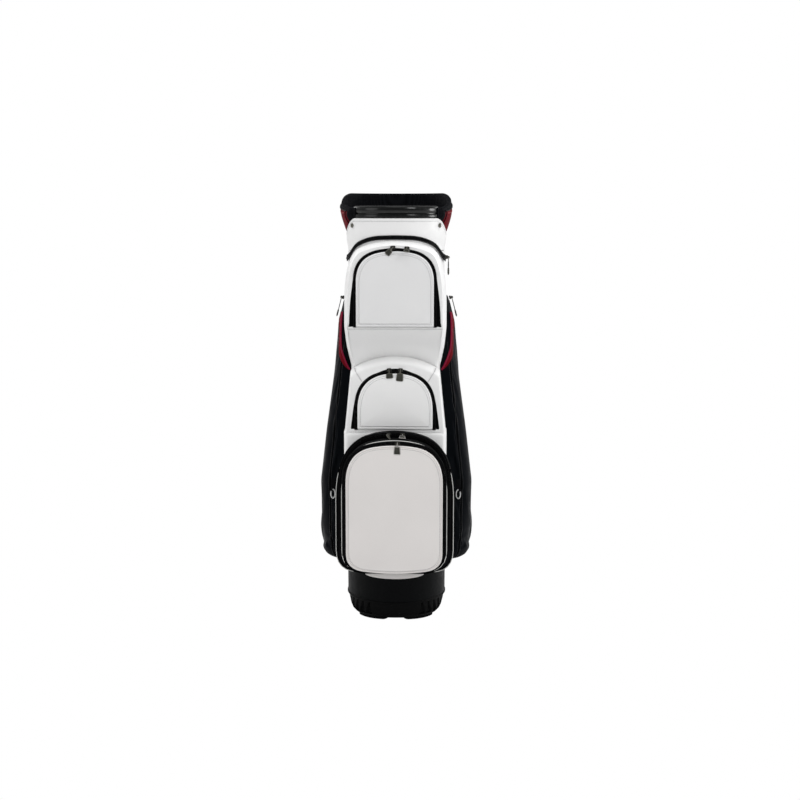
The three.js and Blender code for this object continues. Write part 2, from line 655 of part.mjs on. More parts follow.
buildBody();
buildMouth();
buildFrontPockets();
buildSidePockets();
buildZips();
buildHooks();
buildStrap();
buildHandle();

export default bag;
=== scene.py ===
"""Looks for the golf staff bag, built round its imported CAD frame.

Lengths are millimetres until a mesh is made. +Z is up, the zipped pockets face -Y, +X is the bag's left hand side
seen from behind. Every piece takes its place from the boxes of the CAD nodes it stands for.
"""
import json
import math

import bpy
import bmesh
import numpy as np
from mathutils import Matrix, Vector, noise
from mathutils.bvhtree import BVHTree


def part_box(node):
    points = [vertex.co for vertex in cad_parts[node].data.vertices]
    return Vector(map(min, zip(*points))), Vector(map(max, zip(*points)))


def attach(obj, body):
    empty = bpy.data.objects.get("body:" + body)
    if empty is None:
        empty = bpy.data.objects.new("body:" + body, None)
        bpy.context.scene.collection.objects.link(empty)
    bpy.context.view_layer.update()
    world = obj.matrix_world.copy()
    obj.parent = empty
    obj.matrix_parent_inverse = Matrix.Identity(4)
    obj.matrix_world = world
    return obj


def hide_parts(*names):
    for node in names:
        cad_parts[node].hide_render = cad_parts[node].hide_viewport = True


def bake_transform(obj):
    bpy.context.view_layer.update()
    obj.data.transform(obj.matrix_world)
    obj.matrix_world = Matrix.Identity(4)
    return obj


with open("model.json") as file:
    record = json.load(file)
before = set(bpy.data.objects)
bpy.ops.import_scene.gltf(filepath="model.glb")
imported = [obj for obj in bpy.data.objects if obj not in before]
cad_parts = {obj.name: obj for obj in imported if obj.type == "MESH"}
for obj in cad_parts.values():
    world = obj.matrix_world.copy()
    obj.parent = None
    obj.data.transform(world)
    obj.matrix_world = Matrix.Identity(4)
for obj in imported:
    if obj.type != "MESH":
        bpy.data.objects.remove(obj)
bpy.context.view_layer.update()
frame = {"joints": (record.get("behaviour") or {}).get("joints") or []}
JOINTS = {joint["name"]: joint for joint in frame["joints"]}
MM = 0.001
FRONT = np.array([0.0, -1.0, 0.0])
UP = np.array([0.0, 0.0, 1.0])


# ---------------------------------------------------------------- places taken from the frame

def span(node):
    low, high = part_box(node)
    return np.array(low) / MM, np.array(high) / MM


def middle(node):
    low, high = span(node)
    return (low + high) / 2


def ellipse_of(node):
    """Half width and half depth of a round node."""
    low, high = span(node)
    return (high[0] - low[0]) / 2, (high[1] - low[1]) / 2


# ---------------------------------------------------------------- small maths

def mix(low, high, t):
    return low + (high - low) * t


def smooth(t):
    t = np.clip(t, 0.0, 1.0)
    return t * t * (3 - 2 * t)


def unit(vectors):
    return vectors / np.maximum(np.linalg.norm(vectors, axis=-1, keepdims=True), 1e-9)


def around(a, b, degrees, z):
    """Points on an ellipse round the bag: 0 degrees is the front, 90 is +X."""
    turn = np.radians(degrees)
    return np.stack(np.broadcast_arrays(a * np.sin(turn), -b * np.cos(turn), z), axis=-1).astype(float)


def flat(outline, y):
    """An (x, z) outline standing at y."""
    return np.column_stack([outline[:, 0], np.full(len(outline), float(y)), outline[:, 1]])


def wobble(points, size, amount, seed):
    """Soft unevenness: how far each point is pushed, from smooth noise of a given size."""
    shift = Vector((seed * 17.3, seed * 5.1, seed * 9.7))
    return np.array([noise.noise(Vector(p) / size + shift) * amount for p in points])


def resample(path, pitch, closed=False):
    line = np.vstack([path, path[:1]]) if closed else path
    steps = np.linalg.norm(np.diff(line, axis=0), axis=1)
    reach = np.concatenate([[0.0], np.cumsum(steps)])
    count = max(2, int(round(reach[-1] / pitch)) + 1)
    marks = np.linspace(0, reach[-1], count)
    if closed:
        marks = marks[:-1]
    return np.column_stack([np.interp(marks, reach, line[:, k]) for k in range(3)])


def frames(path, up, closed=False):
    """Unit along, across and outward directions at each point of a path."""
    if closed:
        along = np.roll(path, -1, axis=0) - np.roll(path, 1, axis=0)
    else:
        along = np.gradient(path, axis=0)
    along = unit(along)
    across = unit(np.cross(along, np.broadcast_to(up, path.shape)))
    return along, across, np.cross(across, along)


# ---------------------------------------------------------------- meshes

class Form:
    """Collects the closed parts of one piece."""

    def __init__(self):
        self.points = []
        self.faces = []
        self.marks = []

    def add(self, points, faces, mark=0):
        base = len(self.points)
        self.points.extend(np.asarray(points, float).reshape(-1, 3))
        self.faces.extend(tuple(base + i for i in face) for face in faces)
        self.marks.extend([mark] * len(faces) if np.isscalar(mark) else mark)
        return self

    def rings(self, rings, mark=0, loop=False, start="fan", end="fan"):
        """Skins a stack of closed rings. mark is one number or one for each band."""
        count, size = len(rings), len(rings[0])
        points = np.concatenate(rings)
        faces, marks = [], []
        bands = count if loop else count - 1
        for band in range(bands):
            low, high = band * size, ((band + 1) % count) * size
            value = mark if np.isscalar(mark) else mark[band]
            for i in range(size):
                j = (i + 1) % size
                faces.append((low + i, low + j, high + j, high + i))
                marks.append(value)
        if not loop:
            extra = []
            for where, ring, first in ((start, rings[0], True), (end, rings[-1], False)):
                if where is None:
                    continue
                hub = count * size + len(extra)
                extra.append(ring.mean(0) if isinstance(where, str) else np.asarray(where, float))
                base = 0 if first else (count - 1) * size
                value = mark if np.isscalar(mark) else mark[0 if first else -1]
                for i in range(size):
                    j = (i + 1) % size
                    faces.append((hub, base + j, base + i) if first else (hub, base + i, base + j))
                    marks.append(value)
            if extra:
                points = np.vstack([points, extra])
        return self.add(points, faces, marks)

    def sweep(self, path, up, profile, closed=False, mark=0):
        """Carries an (across, outward) profile along a path."""
        _, across, out = frames(path, up, closed)
        profile = np.asarray(profile, float)
        if profile.ndim == 2:
            profile = np.broadcast_to(profile, (len(path),) + profile.shape)
        rings = [p + c[:, :1] * a + c[:, 1:] * o for p, c, a, o in zip(path, profile, across, out)]
        return self.rings(rings, mark, loop=closed)

    def scatter(self, path, up, pitch, block, mark=0, closed=False, lift=0.0):
        """Repeats a small (along, across, outward) block along a path."""
        points, faces = block
        ups = np.broadcast_to(up, path.shape)
        both = resample(np.hstack([path, ups])[:, :3], pitch, closed)
        if np.ndim(up) > 1:
            nearest = [int(np.argmin(((path - p) ** 2).sum(1))) for p in both]
            ups = ups[nearest]
        else:
            ups = np.broadcast_to(up, both.shape)
        along, across, out = frames(both, ups, closed)
        for p, a, c, o in zip(both, along, across, out):
            placed = p + points[:, :1] * a + points[:, 1:2] * c + (points[:, 2:] + lift) * o
            self.add(placed, faces, mark)
        return self

    def build(self, name, body, slot, finishes, replaces=(), sharp=38):
        mesh = bpy.data.meshes.new(name)
        mesh.from_pydata((np.array(self.points) * MM).tolist(), [], self.faces)
        for finish in finishes:
            mesh.materials.append(finish)
        mesh.polygons.foreach_set("material_index", self.marks)
        tidy = bmesh.new()
        tidy.from_mesh(mesh)
        bmesh.ops.recalc_face_normals(tidy, faces=tidy.faces)
        tidy.to_mesh(mesh)
        tidy.free()
        mesh.shade_smooth()
        mesh.set_sharp_from_angle(angle=math.radians(sharp))
        piece = bpy.data.objects.new(name, mesh)
        bpy.context.scene.collection.objects.link(piece)
        if body:
            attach(piece, body)
        if replaces:
            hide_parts(*replaces)
        return piece


def oval(across, out, sides=10, shift=0.0):
    turn = np.linspace(0, 2 * math.pi, sides, endpoint=False)
    return np.column_stack([across * np.cos(turn), out * np.sin(turn) + shift])


def band_profile(width, thick, edge=None):
    """A flat strip's section with rounded edges, standing on its path."""
    edge = min(width, thick) * 0.35 if edge is None else edge
    w, t = width / 2, thick
    return [(-w + edge, 0), (w - edge, 0), (w, edge), (w, t - edge), (w - edge, t), (-w + edge, t), (-w, t - edge),
            (-w, edge)]


def capsule(length, radius, sides=6):
    """A thread stitch lying along its path."""
    rows = [(-0.5, 0.55), (-0.36, 1.0), (0.36, 1.0), (0.5, 0.55)]
    turn = np.linspace(0, 2 * math.pi, sides, endpoint=False)
    rings = [np.column_stack([np.full(sides, s * length), radius * r * np.cos(turn), radius * r * np.sin(turn)])
             for s, r in rows]
    form = Form().rings(rings)
    return np.array(form.points), form.faces


def peg(length, width, height, taper=0.7, shift=0.0):
    """A small block with a narrower top."""
    ring = np.array([(-1, -1), (1, -1), (1, 1), (-1, 1)]) / 2
    rings = [np.column_stack([ring[:, 0] * length * s, ring[:, 1] * width * s + shift, np.full(4, h)])
             for s, h in ((1, 0.0), (1, height * 0.5), (taper, height))]
    form = Form().rings(rings)
    return np.array(form.points), form.faces


STITCH = capsule(2.5, 0.42)


# ---------------------------------------------------------------- materials

class Finish:
    """A node material whose patterns are placed in the bag's own frame, sized in millimetres."""

    def __init__(self, name, color, roughness, metallic=0.0, coat=0.0, sheen=0.0, specular=0.5):
        self.material = bpy.data.materials.new(name)
        self.material.use_nodes = True
        self.nodes = self.material.node_tree.nodes
        self.links = self.material.node_tree.links
        self.shader = self.nodes["Principled BSDF"]
        self.place = self.nodes.new("ShaderNodeTexCoord").outputs["Object"]
        self.color = (*color, 1.0)
        self.normal = None
        for key, value in (("Base Color", self.color), ("Roughness", roughness), ("Metallic", metallic),
                           ("Coat Weight", coat), ("Coat Roughness", 0.08), ("Sheen Weight", sheen),
                           ("Specular IOR Level", specular)):
            self.shader.inputs[key].default_value = value

    def noise(self, size, detail=3.0, stretch=(1, 1, 1)):
        node = self.nodes.new("ShaderNodeTexNoise")
        node.inputs["Scale"].default_value = 1 / (size * MM)
        node.inputs["Detail"].default_value = detail
        self.links.new(self.stretched(stretch), node.inputs["Vector"])
        return node.outputs["Fac"]

    def stretched(self, stretch):
        if stretch == (1, 1, 1):
            return self.place
        node = self.nodes.new("ShaderNodeMapping")
        node.inputs["Scale"].default_value = stretch
        self.links.new(self.place, node.inputs["Vector"])
        return node.outputs["Vector"]

    def cells(self, size, feature="F1", randomness=1.0):
        node = self.nodes.new("ShaderNodeTexVoronoi")
        node.feature = feature
        node.inputs["Scale"].default_value = 1 / (size * MM)
        node.inputs["Randomness"].default_value = randomness
        self.links.new(self.place, node.inputs["Vector"])
        return node.outputs["Distance"]

    def waves(self, size, direction="DIAGONAL", distortion=0.0):
        node = self.nodes.new("ShaderNodeTexWave")
        node.bands_direction = direction
        node.inputs["Scale"].default_value = 0.314 / (size * MM)
        node.inputs["Distortion"].default_value = distortion
        self.links.new(self.place, node.inputs["Vector"])
        return node.outputs["Fac"]

    def math(self, kind, first, second):
        node = self.nodes.new("ShaderNodeMath")
        node.operation = kind
        for slot, value in zip(node.inputs, (first, second)):
            if isinstance(value, (int, float)):
                slot.default_value = value
            else:
                self.links.new(value, slot)
        return node.outputs[0]

    def between(self, source, low, high, out_low=0.0, out_high=1.0):
        node = self.nodes.new("ShaderNodeMapRange")
        for key, value in zip(("From Min", "From Max", "To Min", "To Max"), (low, high, out_low, out_high)):
            node.inputs[key].default_value = value
        self.links.new(source, node.inputs["Value"])
        return node.outputs["Result"]

    def facing(self, blend=0.4):
        node = self.nodes.new("ShaderNodeLayerWeight")
        node.inputs["Blend"].default_value = blend
        return node.outputs["Facing"]

    def tint(self, source, low, high):
        """Base colour runs from low to high with source."""
        node = self.nodes.new("ShaderNodeMix")
        node.data_type = "RGBA"
        self.links.new(source, node.inputs["Factor"])
        previous = self.shader.inputs["Base Color"]
        node.inputs["A"].default_value = (*low, 1.0)
        node.inputs["B"].default_value = (*high, 1.0)
        self.links.new(node.outputs["Result"], previous)
        return self

    def paint_light_shade(self, source, color):
        """Mixes a second colour over the present base colour: used to paint shade and highlights into it."""
        node = self.nodes.new("ShaderNodeMix")
        node.data_type = "RGBA"
        self.links.new(source, node.inputs["Factor"])
        link = self.shader.inputs["Base Color"].links
        if link:
            self.links.new(link[0].from_socket, node.inputs["A"])
        else:
            node.inputs["A"].default_value = self.color
        node.inputs["B"].default_value = (*color, 1.0)
        self.links.new(node.outputs["Result"], self.shader.inputs["Base Color"])
        return self

    def rough(self, source, low, high):
        self.links.new(self.between(source, 0.3, 0.7, low, high), self.shader.inputs["Roughness"])
        return self

    def bump(self, source, depth, strength=1.0):
        node = self.nodes.new("ShaderNodeBump")
        node.inputs["Distance"].default_value = depth * MM
        node.inputs["Strength"].default_value = strength
        self.links.new(source, node.inputs["Height"])
        if self.normal:
            self.links.new(self.normal, node.inputs["Normal"])
        self.normal = node.outputs["Normal"]
        self.links.new(self.normal, self.shader.inputs["Normal"])
        return self


def coated_leather(name, color, roughness, vary, coat=0.12, specular=0.4):
    """Embossed leather grain under a thin coat, a little uneven in tone, with painted shade darkening the grain's
    creases.
    """
    finish = Finish(name, color, roughness, coat=coat, specular=specular)
    finish.tint(finish.noise(70, 2), [c * (1 - vary) for c in color], [min(1.0, c * (1 + vary)) for c in color])
    creases = finish.cells(1.5, "DISTANCE_TO_EDGE")
    # painted shade: the colour darkens along the grain's crease lines
    finish.paint_light_shade(finish.between(creases, 0.06, 0.0, 0.0, 0.16), [c * 0.55 for c in color])
    finish.rough(finish.noise(18), roughness - 0.05, roughness + 0.07)
    finish.bump(finish.noise(24, 2), 0.5, 0.35)
    finish.bump(finish.between(creases, 0.0, 0.14), 0.16, 0.5)
    return finish.bump(finish.noise(0.5), 0.05, 0.4).material


def satin_nylon(name, low, high, roughness=0.4):
    """Tight twill with a soft sheen that lifts at grazing angles; the sheen and soft highlight patches are painted into
    the base colour.
    """
    finish = Finish(name, low, roughness, sheen=0.0, specular=0.035)
    # painted sheen: the base colour runs from low to high towards grazing angles
    finish.tint(finish.facing(0.45), low, high)
    twill = finish.math("ADD", finish.waves(0.9), finish.waves(1.3, "Z"))
    # painted highlights: soft lighter patches of the high colour from large noise
    finish.paint_light_shade(finish.between(finish.noise(55), 0.45, 0.7, 0.0, 0.35), high)
    finish.rough(finish.noise(30), roughness - 0.07, roughness + 0.1)
    finish.bump(finish.noise(16, 2, (1, 1, 0.5)), 1.1, 0.4)
    return finish.bump(twill, 0.09, 0.6).material


def woven(name, color, thread, roughness=0.75, direction="Z"):
    """Coarse weave for webbing, tape and lining."""
    finish = Finish(name, color, roughness, specular=0.04)
    weave = finish.math("MULTIPLY", finish.waves(thread, direction), finish.waves(thread * 0.8))
    finish.tint(weave, [c * 0.6 for c in color], [c * 1.5 for c in color])
    finish.bump(weave, thread * 0.22, 0.8)
    return finish.bump(finish.noise(9), 0.3, 0.3).material


def spacer_mesh(name, color, hole):
    """Padded sports mesh with rows of small holes, and a painted sheen that lightens it at grazing angles."""
    finish = Finish(name, color, 0.62, specular=0.04)
    holes = finish.cells(hole, "F1", 0.0)
    finish.tint(finish.between(holes, 0.34, 0.46), [c * 0.15 for c in color], color)
    # painted sheen: lighter colour towards grazing angles
    finish.paint_light_shade(finish.between(finish.facing(0.5), 0.4, 1.0, 0.0, 0.3), [c * 3 for c in color])
    finish.bump(finish.between(holes, 0.2, 0.5), 0.8, 0.8)
    return finish.bump(finish.noise(12), 0.8, 0.3).material


def moulded(name, color, roughness, coat, grain, depth, specular=0.08):
    """Moulded plastic or rubber with a fine spark texture and handling marks."""
    finish = Finish(name, color, roughness, coat=coat, specular=specular)
    finish.tint(finish.noise(40), [c * 0.75 for c in color], [c * 1.35 for c in color])
    finish.rough(finish.noise(14, 4), max(0.04, roughness - 0.06), roughness + 0.1)
    return finish.bump(finish.noise(grain, 2), depth, 0.5).material


def plated(name, color, roughness):
    """Plated zinc: slightly brushed, with darker worn spots."""
    finish = Finish(name, color, roughness, metallic=1.0)
    finish.tint(finish.noise(6, 4), [c * 0.7 for c in color], [min(1.0, c * 1.2) for c in color])
    finish.rough(finish.noise(1.6, 3, (1, 1, 6)), roughness - 0.06, roughness + 0.14)
    return finish.bump(finish.noise(0.8, 2, (1, 1, 5)), 0.03, 0.4).material


def plain_thread(name, color):
    finish = Finish(name, color, 0.6, sheen=0.3)
    return finish.bump(finish.waves(0.5), 0.1, 0.7).material


WHITE = coated_leather("white_coated_leather", (0.84, 0.84, 0.838), 0.44, 0.02)
# darker copy of the white leather for the upper door: painted shade, as the front-facing door catches less light
WHITE_DOOR_SHADED = coated_leather("white_leather_door_shaded", (0.78, 0.78, 0.783), 0.44, 0.025)
# darker, slightly warmer copy of the white leather for the ball pocket's panel and underside: the darkening is painted
# shade
WHITE_LOW_SHADED = coated_leather("white_leather_lower_shaded", (0.745, 0.718, 0.703), 0.46, 0.03)
PIPING = coated_leather("pale_piping", (0.62, 0.62, 0.60), 0.44, 0.03)
BLACK = coated_leather("black_coated_leather", (0.0022, 0.0026, 0.0030), 0.42, 0.25, 0.0, 0.08)
RED = coated_leather("red_coated_leather", (0.125, 0.0022, 0.007), 0.44, 0.10, 0.0, 0.03)
RED_PIPE = coated_leather("red_piping", (0.19, 0.006, 0.028), 0.4, 0.08, 0.0, 0.08)
# the second colour of each nylon is its painted sheen and highlight colour
NYLON = satin_nylon("satin_nylon", (0.0009, 0.0017, 0.0026), (0.0036, 0.0042, 0.0064))
GUSSET = satin_nylon("gusset_nylon", (0.0008, 0.0010, 0.0012), (0.0018, 0.0020, 0.0024), 0.5)
MESH = spacer_mesh("padded_mesh", (0.0055, 0.0058, 0.0078), 3.4)
LINING = woven("lining_weave", (0.010, 0.010, 0.012), 1.4)
WEBBING = woven("webbing_weave", (0.006, 0.006, 0.007), 2.0)
TAPE = woven("zip_tape_weave", (0.0030, 0.0030, 0.0034), 0.9)
COIL = moulded("zip_coil_plastic", (0.004, 0.004, 0.0044), 0.3, 0.05, 0.6, 0.03)
GLOSS = moulded("gloss_moulding", (0.0030, 0.0033, 0.0034), 0.17, 0.12, 1.2, 0.01, 0.5)
RUBBER = moulded("base_rubber", (0.0026, 0.0027, 0.0028), 0.5, 0.0, 0.7, 0.10)
SOLE = moulded("foot_rubber", (0.004, 0.004, 0.004), 0.7, 0.0, 0.9, 0.16)
GREY_RUBBER = moulded("pull_rubber", (0.045, 0.045, 0.038), 0.5, 0.05, 0.6, 0.05)
GUNMETAL = plated("gunmetal_plating", (0.20, 0.195, 0.17), 0.32)
DARK_METAL = plated("dark_plating", (0.055, 0.054, 0.047), 0.28)
SILVER = plated("silver_plating", (0.52, 0.50, 0.48), 0.26)
BRIGHT = plated("nickel_plating", (0.85, 0.85, 0.83), 0.25)
WHITE_THREAD = plain_thread("white_thread", (0.62, 0.62, 0.62))
GREY_THREAD = plain_thread("grey_thread", (0.34, 0.34, 0.35))
BLACK_THREAD = plain_thread("black_thread", (0.02, 0.02, 0.022))
RED_THREAD = plain_thread("red_thread", (0.4, 0.02, 0.03))
ROD = moulded("fibreglass_rod", (0.05, 0.05, 0.05), 0.35, 0.2, 2.0, 0.05)


# ---------------------------------------------------------------- round parts

TUBE_A, TUBE_B = ellipse_of("body_tube")


def turn(form, degrees, profile, mark=0, loop=False, shape=None):
    """Sections of (grow, z) carried round the bag. grow is measured out from the body tube."""
    sections = []
    for degree in degrees:
        section = np.asarray(profile(degree), float)
        grow = section[:, 0]
        ring = around(TUBE_A + grow, TUBE_B + grow, degree, section[:, 1])
        sections.append(shape(ring) if shape else ring)
    return form.rings(sections, mark, loop=loop)


def ring_path(grow, z, degree0, degree1, count):
    degrees = np.linspace(degree0, degree1, count)
    heights = z(degrees) if callable(z) else z
    return around(TUBE_A + grow, TUBE_B + grow, degrees, heights)


def outward(path):
    """Directions straight out of the bag's side at each point."""
    return unit(np.column_stack([path[:, 0] / TUBE_A ** 2, path[:, 1] / TUBE_B ** 2, np.zeros(len(path))]))


FULL = np.linspace(0, 360, 120, endpoint=False)


def build_core():
    low, high = span("body_tube")
    wall = Form()
    turn(wall, FULL, lambda d: [(-3, low[2]), (0, low[2]), (0, high[2]), (-3, high[2]), (-3, 600), (-3, 300)], loop=True)
    wall.build("tube_lining", "bag", "lining", [LINING], ["body_tube"])
    for side, node in ((-1, "stay_left"), (1, "stay_right")):
        low, high = span(node)
        x, y = middle(node)[:2]
        turns = np.linspace(0, 2 * math.pi, 20, endpoint=False)
        rows = [(low[2], 2.6), (low[2] + 2, 3.5), (high[2] - 2, 3.5), (high[2], 2.6)]
        rod = Form().rings([np.column_stack([x + r * np.cos(turns), y + r * np.sin(turns), np.full(20, z)])
                            for z, r in rows])
        rod.build(node + "_rod", "bag", "fibreglass", [ROD], [node])


def skin_profile(grow, z0, z1, swell=0.0, rows=10):
    """Outer face from z0 to z1 with rolled ends and a slight swell, and a flat inner face."""
    t = np.linspace(0, 1, rows)
    outer = [(grow + swell * math.sin(math.pi * k), mix(z0 + 1.2, z1 - 1.2, k)) for k in t]
    return [(0.6, z0), (grow - 1.2, z0), *outer, (grow - 1.2, z1), (0.6, z1)]


def build_skins():
    low, high = span("lower_cover")
    lower = Form()
    turn(lower, FULL, lambda d: skin_profile(7.6, low[2] + 3, high[2], 0.5), loop=True)
    for height in (108, 262):
        ring = ring_path(7.9, height, 0, 357, 119)
        lower.sweep(ring, outward(ring), oval(1.1, 0.9, 8), closed=True)
        for offset in (-3.2, 3.2):
            line = ring + UP * offset
            lower.scatter(line, outward(line), 4.0, STITCH, 1, closed=True, lift=0.1)
    lower.build("lower_skin", "bag", "black_pu", [BLACK, BLACK_THREAD], ["lower_cover"])
    low, high = span("front_cover")
    front = Form()
    turn(front, np.linspace(-100, 100, 70), lambda d: skin_profile(4.3, low[2], high[2]))
    front.build("front_skin", "bag", "white_pu", [WHITE], ["front_cover"])
    low, high = span("rear_cover")
    rear = Form()
    turn(rear, np.linspace(100.4, 259.6, 64), lambda d: skin_profile(4.3, low[2], high[2], 0.4))
    spine_seams(rear, low[2], high[2])
    rear.build("rear_skin", "bag", "black_pu", [BLACK, GREY_THREAD, RED_PIPE], ["rear_cover"])


def spine_seams(form, z0, z1):
    """Piped and stitched seams down both sides of the back panel."""
    for degree in (152, 208):
        heights = np.linspace(z0 + 3, z1 - 2, 90)
        seam = around(TUBE_A + 4.5, TUBE_B + 4.5, np.full(90, float(degree)), heights)
        form.sweep(seam, outward(seam), oval(1.3, 1.3, 10), mark=2)
        for offset in (-2.4, 2.4):
            line = around(TUBE_A + 4.6, TUBE_B + 4.6, np.full(90, degree + offset), heights)
            form.scatter(line, outward(line), 4.2, STITCH, 1, lift=0.1)


FLUTE = {"count": 6, "first": 33.0, "step": 9.4, "half": 3.7, "z0": 14.0, "z1": 41.0, "depth": 4.5}


def flute_depth(degree, z):
    """Tapered triangular hollows moulded into the front quarters of the base."""
    side = abs((degree + 180) % 360 - 180)
    depth = 0.0
    for k in range(FLUTE["count"]):
        rise = (z - FLUTE["z0"]) / (FLUTE["z1"] - FLUTE["z0"])
        if 0 <= rise <= 1:
            half = FLUTE["half"] * (1 - rise)
            centre = FLUTE["first"] + FLUTE["step"] * k
            depth = max(depth, FLUTE["depth"] * float(smooth((half - abs(side - centre)) / 0.9 + 0.5)))
    return depth


def base_profile(degree):
    """The cup's side: rounded foot, fluted wall and a bead under the body skin."""
    top = span("base_cup")[1][2]
    outer = []
    for z, grow in ((2.2, -28), (2.6, -20), (4.4, -12.5), (8, -6.2), (13, -1.6), (14.5, -0.6), (17, 0.6), (21, 2.0),
                    (25, 3.1), (29, 4.0), (33, 4.8), (36.5, 5.4), (39, 5.8)):
        outer.append((grow - flute_depth(degree, z), z))
    rim = [(8.0, 39.6), (9.0, 41.0), (9.0, 43.4), (7.9, 44.6), (5.0, 44.6)]
    return [(-60, 2.2), *outer, *rim, (3.0, top), (-60, top)]


def squared(points):
    """Pushes the base's four corners out, more towards the floor, so it stands on a squarer plan."""
    turns = np.arctan2(points[:, 0] / TUBE_A, points[:, 1] / TUBE_B)
    push = 0.085 * np.sin(2 * turns) ** 2 * smooth((40 - points[:, 2]) / 30)
    return points * np.column_stack([1 + push, 1 + push, np.ones(len(points))])


def build_base():
    cup = Form()
    turn(cup, np.linspace(0, 360, 480, endpoint=False), base_profile, loop=True, shape=squared)
    cup.rings([around(42, 50, FULL[::4], 1.6), around(42, 50, FULL[::4], 36.0)])
    cup.build("base_moulding", "bag", "rubber", [RUBBER], ["base_cup"], sharp=50)
    for node in ("foot_left", "foot_right", "foot_rear"):
        build_foot(node)


def build_foot(node):
    """A rubber pad following the base's curve."""
    centre = middle(node)
    degree = math.degrees(math.atan2(centre[0], -centre[1]))
    half = 23 if node != "foot_rear" else 29
    pad = Form()

    def section(d):
        end = float(smooth((half - abs(d - degree)) / 3.0))
        top = mix(2.0, 7.0, end)
        outer = mix(-16, -9.5, end)
        return [(-33, 0.5), (-30, 0.0), (outer - 5, 0.0), (outer - 1, 1.0), (outer, top), (-31, top)]
    turn(pad, np.linspace(degree - half, degree + half, 40), section, shape=squared)
    pad.build(node + "_pad", "bag", "rubber", [SOLE], [node])


# ---------------------------------------------------------------- mouth

COLLAR_TOP = span("collar_cover")[1][2]
COLLAR_SIDE = span("rear_cover")[1][2]
COLLAR_LOW = span("collar_cover")[0][2]


def collar_top(degree):
    return COLLAR_TOP + (COLLAR_SIDE - COLLAR_TOP) * smooth((np.abs(degree) - 54) / 36)


def build_collar():
    collar = Form()
    degrees = np.linspace(-99.6, 99.6, 110)

    def section(degree):
        top = collar_top(degree) - 0.3
        rows = []
        for t in np.linspace(0, 1, 12):
            flare = mix(3.6, 6.9, float(smooth(t * 1.5)))
            rows.append((flare, mix(COLLAR_LOW + 1, top - 2.0, t)))
        return [(0.6, COLLAR_LOW), (2.6, COLLAR_LOW), *rows, (6.6, top - 0.8), (5.6, top), (1.0, top)]
    turn(collar, degrees, section)
    edge = around(TUBE_A + 6.2, TUBE_B + 6.2, degrees, collar_top(degrees) - 2.0)
    collar.sweep(edge, outward(edge), oval(1.9, 1.3, 10))
    line = around(TUBE_A + 7.0, TUBE_B + 7.0, degrees, collar_top(degrees) - 6.2)
    collar.scatter(line, outward(line), 3.6, STITCH, 1)
    collar.build("collar_skin", "bag", "white_pu", [WHITE, GREY_THREAD], ["collar_cover"])
    for node in ("snap_left", "snap_right"):
        build_snap(node)


def build_snap(node):
    """A domed press stud in a rolled ring."""
    centre = middle(node)
    out = outward(centre[None, :])[0]
    across = unit(np.cross(UP, out))
    stud = Form()
    turns = np.linspace(0, 2 * math.pi, 28, endpoint=False)
    rows = [(-1.4, 4.6), (-0.2, 4.9), (0.6, 4.6), (0.9, 4.0), (0.5, 3.4), (0.6, 3.0), (1.5, 2.5), (2.0, 1.5), (2.2, 0.5)]
    stud.rings([centre + out * lift + r * (np.cos(turns)[:, None] * across + np.sin(turns)[:, None] * UP)
                for lift, r in rows])
    stud.build(node + "_stud", "bag", "gunmetal", [GUNMETAL], [node])


def build_cuff():
    """The moulded club rest: a low inner ring, and a tall stepped lip across the front."""
    low, high = span("top_cuff")
    ring = Form()
    turn(ring, FULL, lambda d: [(-7.6, low[2] + 1), (-6.6, low[2]), (0.4, low[2]), (0.9, low[2] + 2), (0.9, 883), (0.0, 885.4),
                                (-1.6, 886.2), (-5.6, 886.2), (-7.2, 885.2), (-7.9, 883)], loop=True)

    def section(degree):
        end = float(smooth((63 - abs(degree)) / 4))
        top = mix(high[2] - 15, high[2] - 0.2, end)
        out = mix(0.6, 4.9, end)
        z0 = low[2] - 1.2
        points = [(-3.4, z0 + 1), (out - 1.0, z0), (out, z0 + 0.8), (out + 0.3, z0 + 4.2), (out - 0.4, z0 + 6.6),
                  (out - 2.6, z0 + 8.0), (out - 2.8, z0 + 9.6), (out - 1.0, z0 + 11.0), (out - 0.5, z0 + 12.6),
                  (out - 0.6, z0 + 19.0), (out - 1.4, z0 + 22.4), (out - 3.2, z0 + 24.6), (out - 5.8, z0 + 25.2),
                  (-5.0, z0 + 24.0), (-6.0, z0 + 21)]
        scale = (top - z0) / 25.2
        return [(g, z0 + (z - z0) * scale) for g, z in points]
    turn(ring, np.linspace(-63, 63, 100), section)
    ring.build("mouth_lip", "bag", "gloss_plastic", [GLOSS], ["top_cuff"])


HOOD_FRONT = 56.0
RED_START = 66.0


def hood_rim(degree):
    side = min(degree, 360 - degree) - HOOD_FRONT
    low, high = span("rear_hood")
    corner = float(smooth((side - 2) / 62))
    return mix(high[2] - 32, high[2] - 0.8, corner)


def hood_section(degree):
    """Inner wall, rolled rim and outer wall, listed once round."""
    side = min(degree, 360 - degree) - HOOD_FRONT
    low = float(collar_top(side + HOOD_FRONT)) + 1.0
    top = hood_rim(degree)
    flare = float(smooth(side / 30))
    tip = float(smooth(side / 7))
    inner, outer = [], []
    for t in np.linspace(0, 1, 9):
        reach = mix(1.6, 9.0, float(smooth(t)) * flare)
        belly = 4.2 * math.sin(math.pi * t) ** 0.8
        thick = mix(5.6, 9.0, t) * mix(0.6, 1, tip) + belly * tip
        z = mix(low, top - 5, t)
        inner.append((reach, z))
        outer.append((reach + thick, z))
    width = outer[-1][0] - inner[-1][0]
    centre = inner[-1][0] + width / 2
    roll = [(centre - width / 2 * math.cos(a), top - 5 + 5.5 * math.sin(a)) for a in np.radians((25, 55, 90, 125, 155))]
    return inner + roll + outer[::-1]


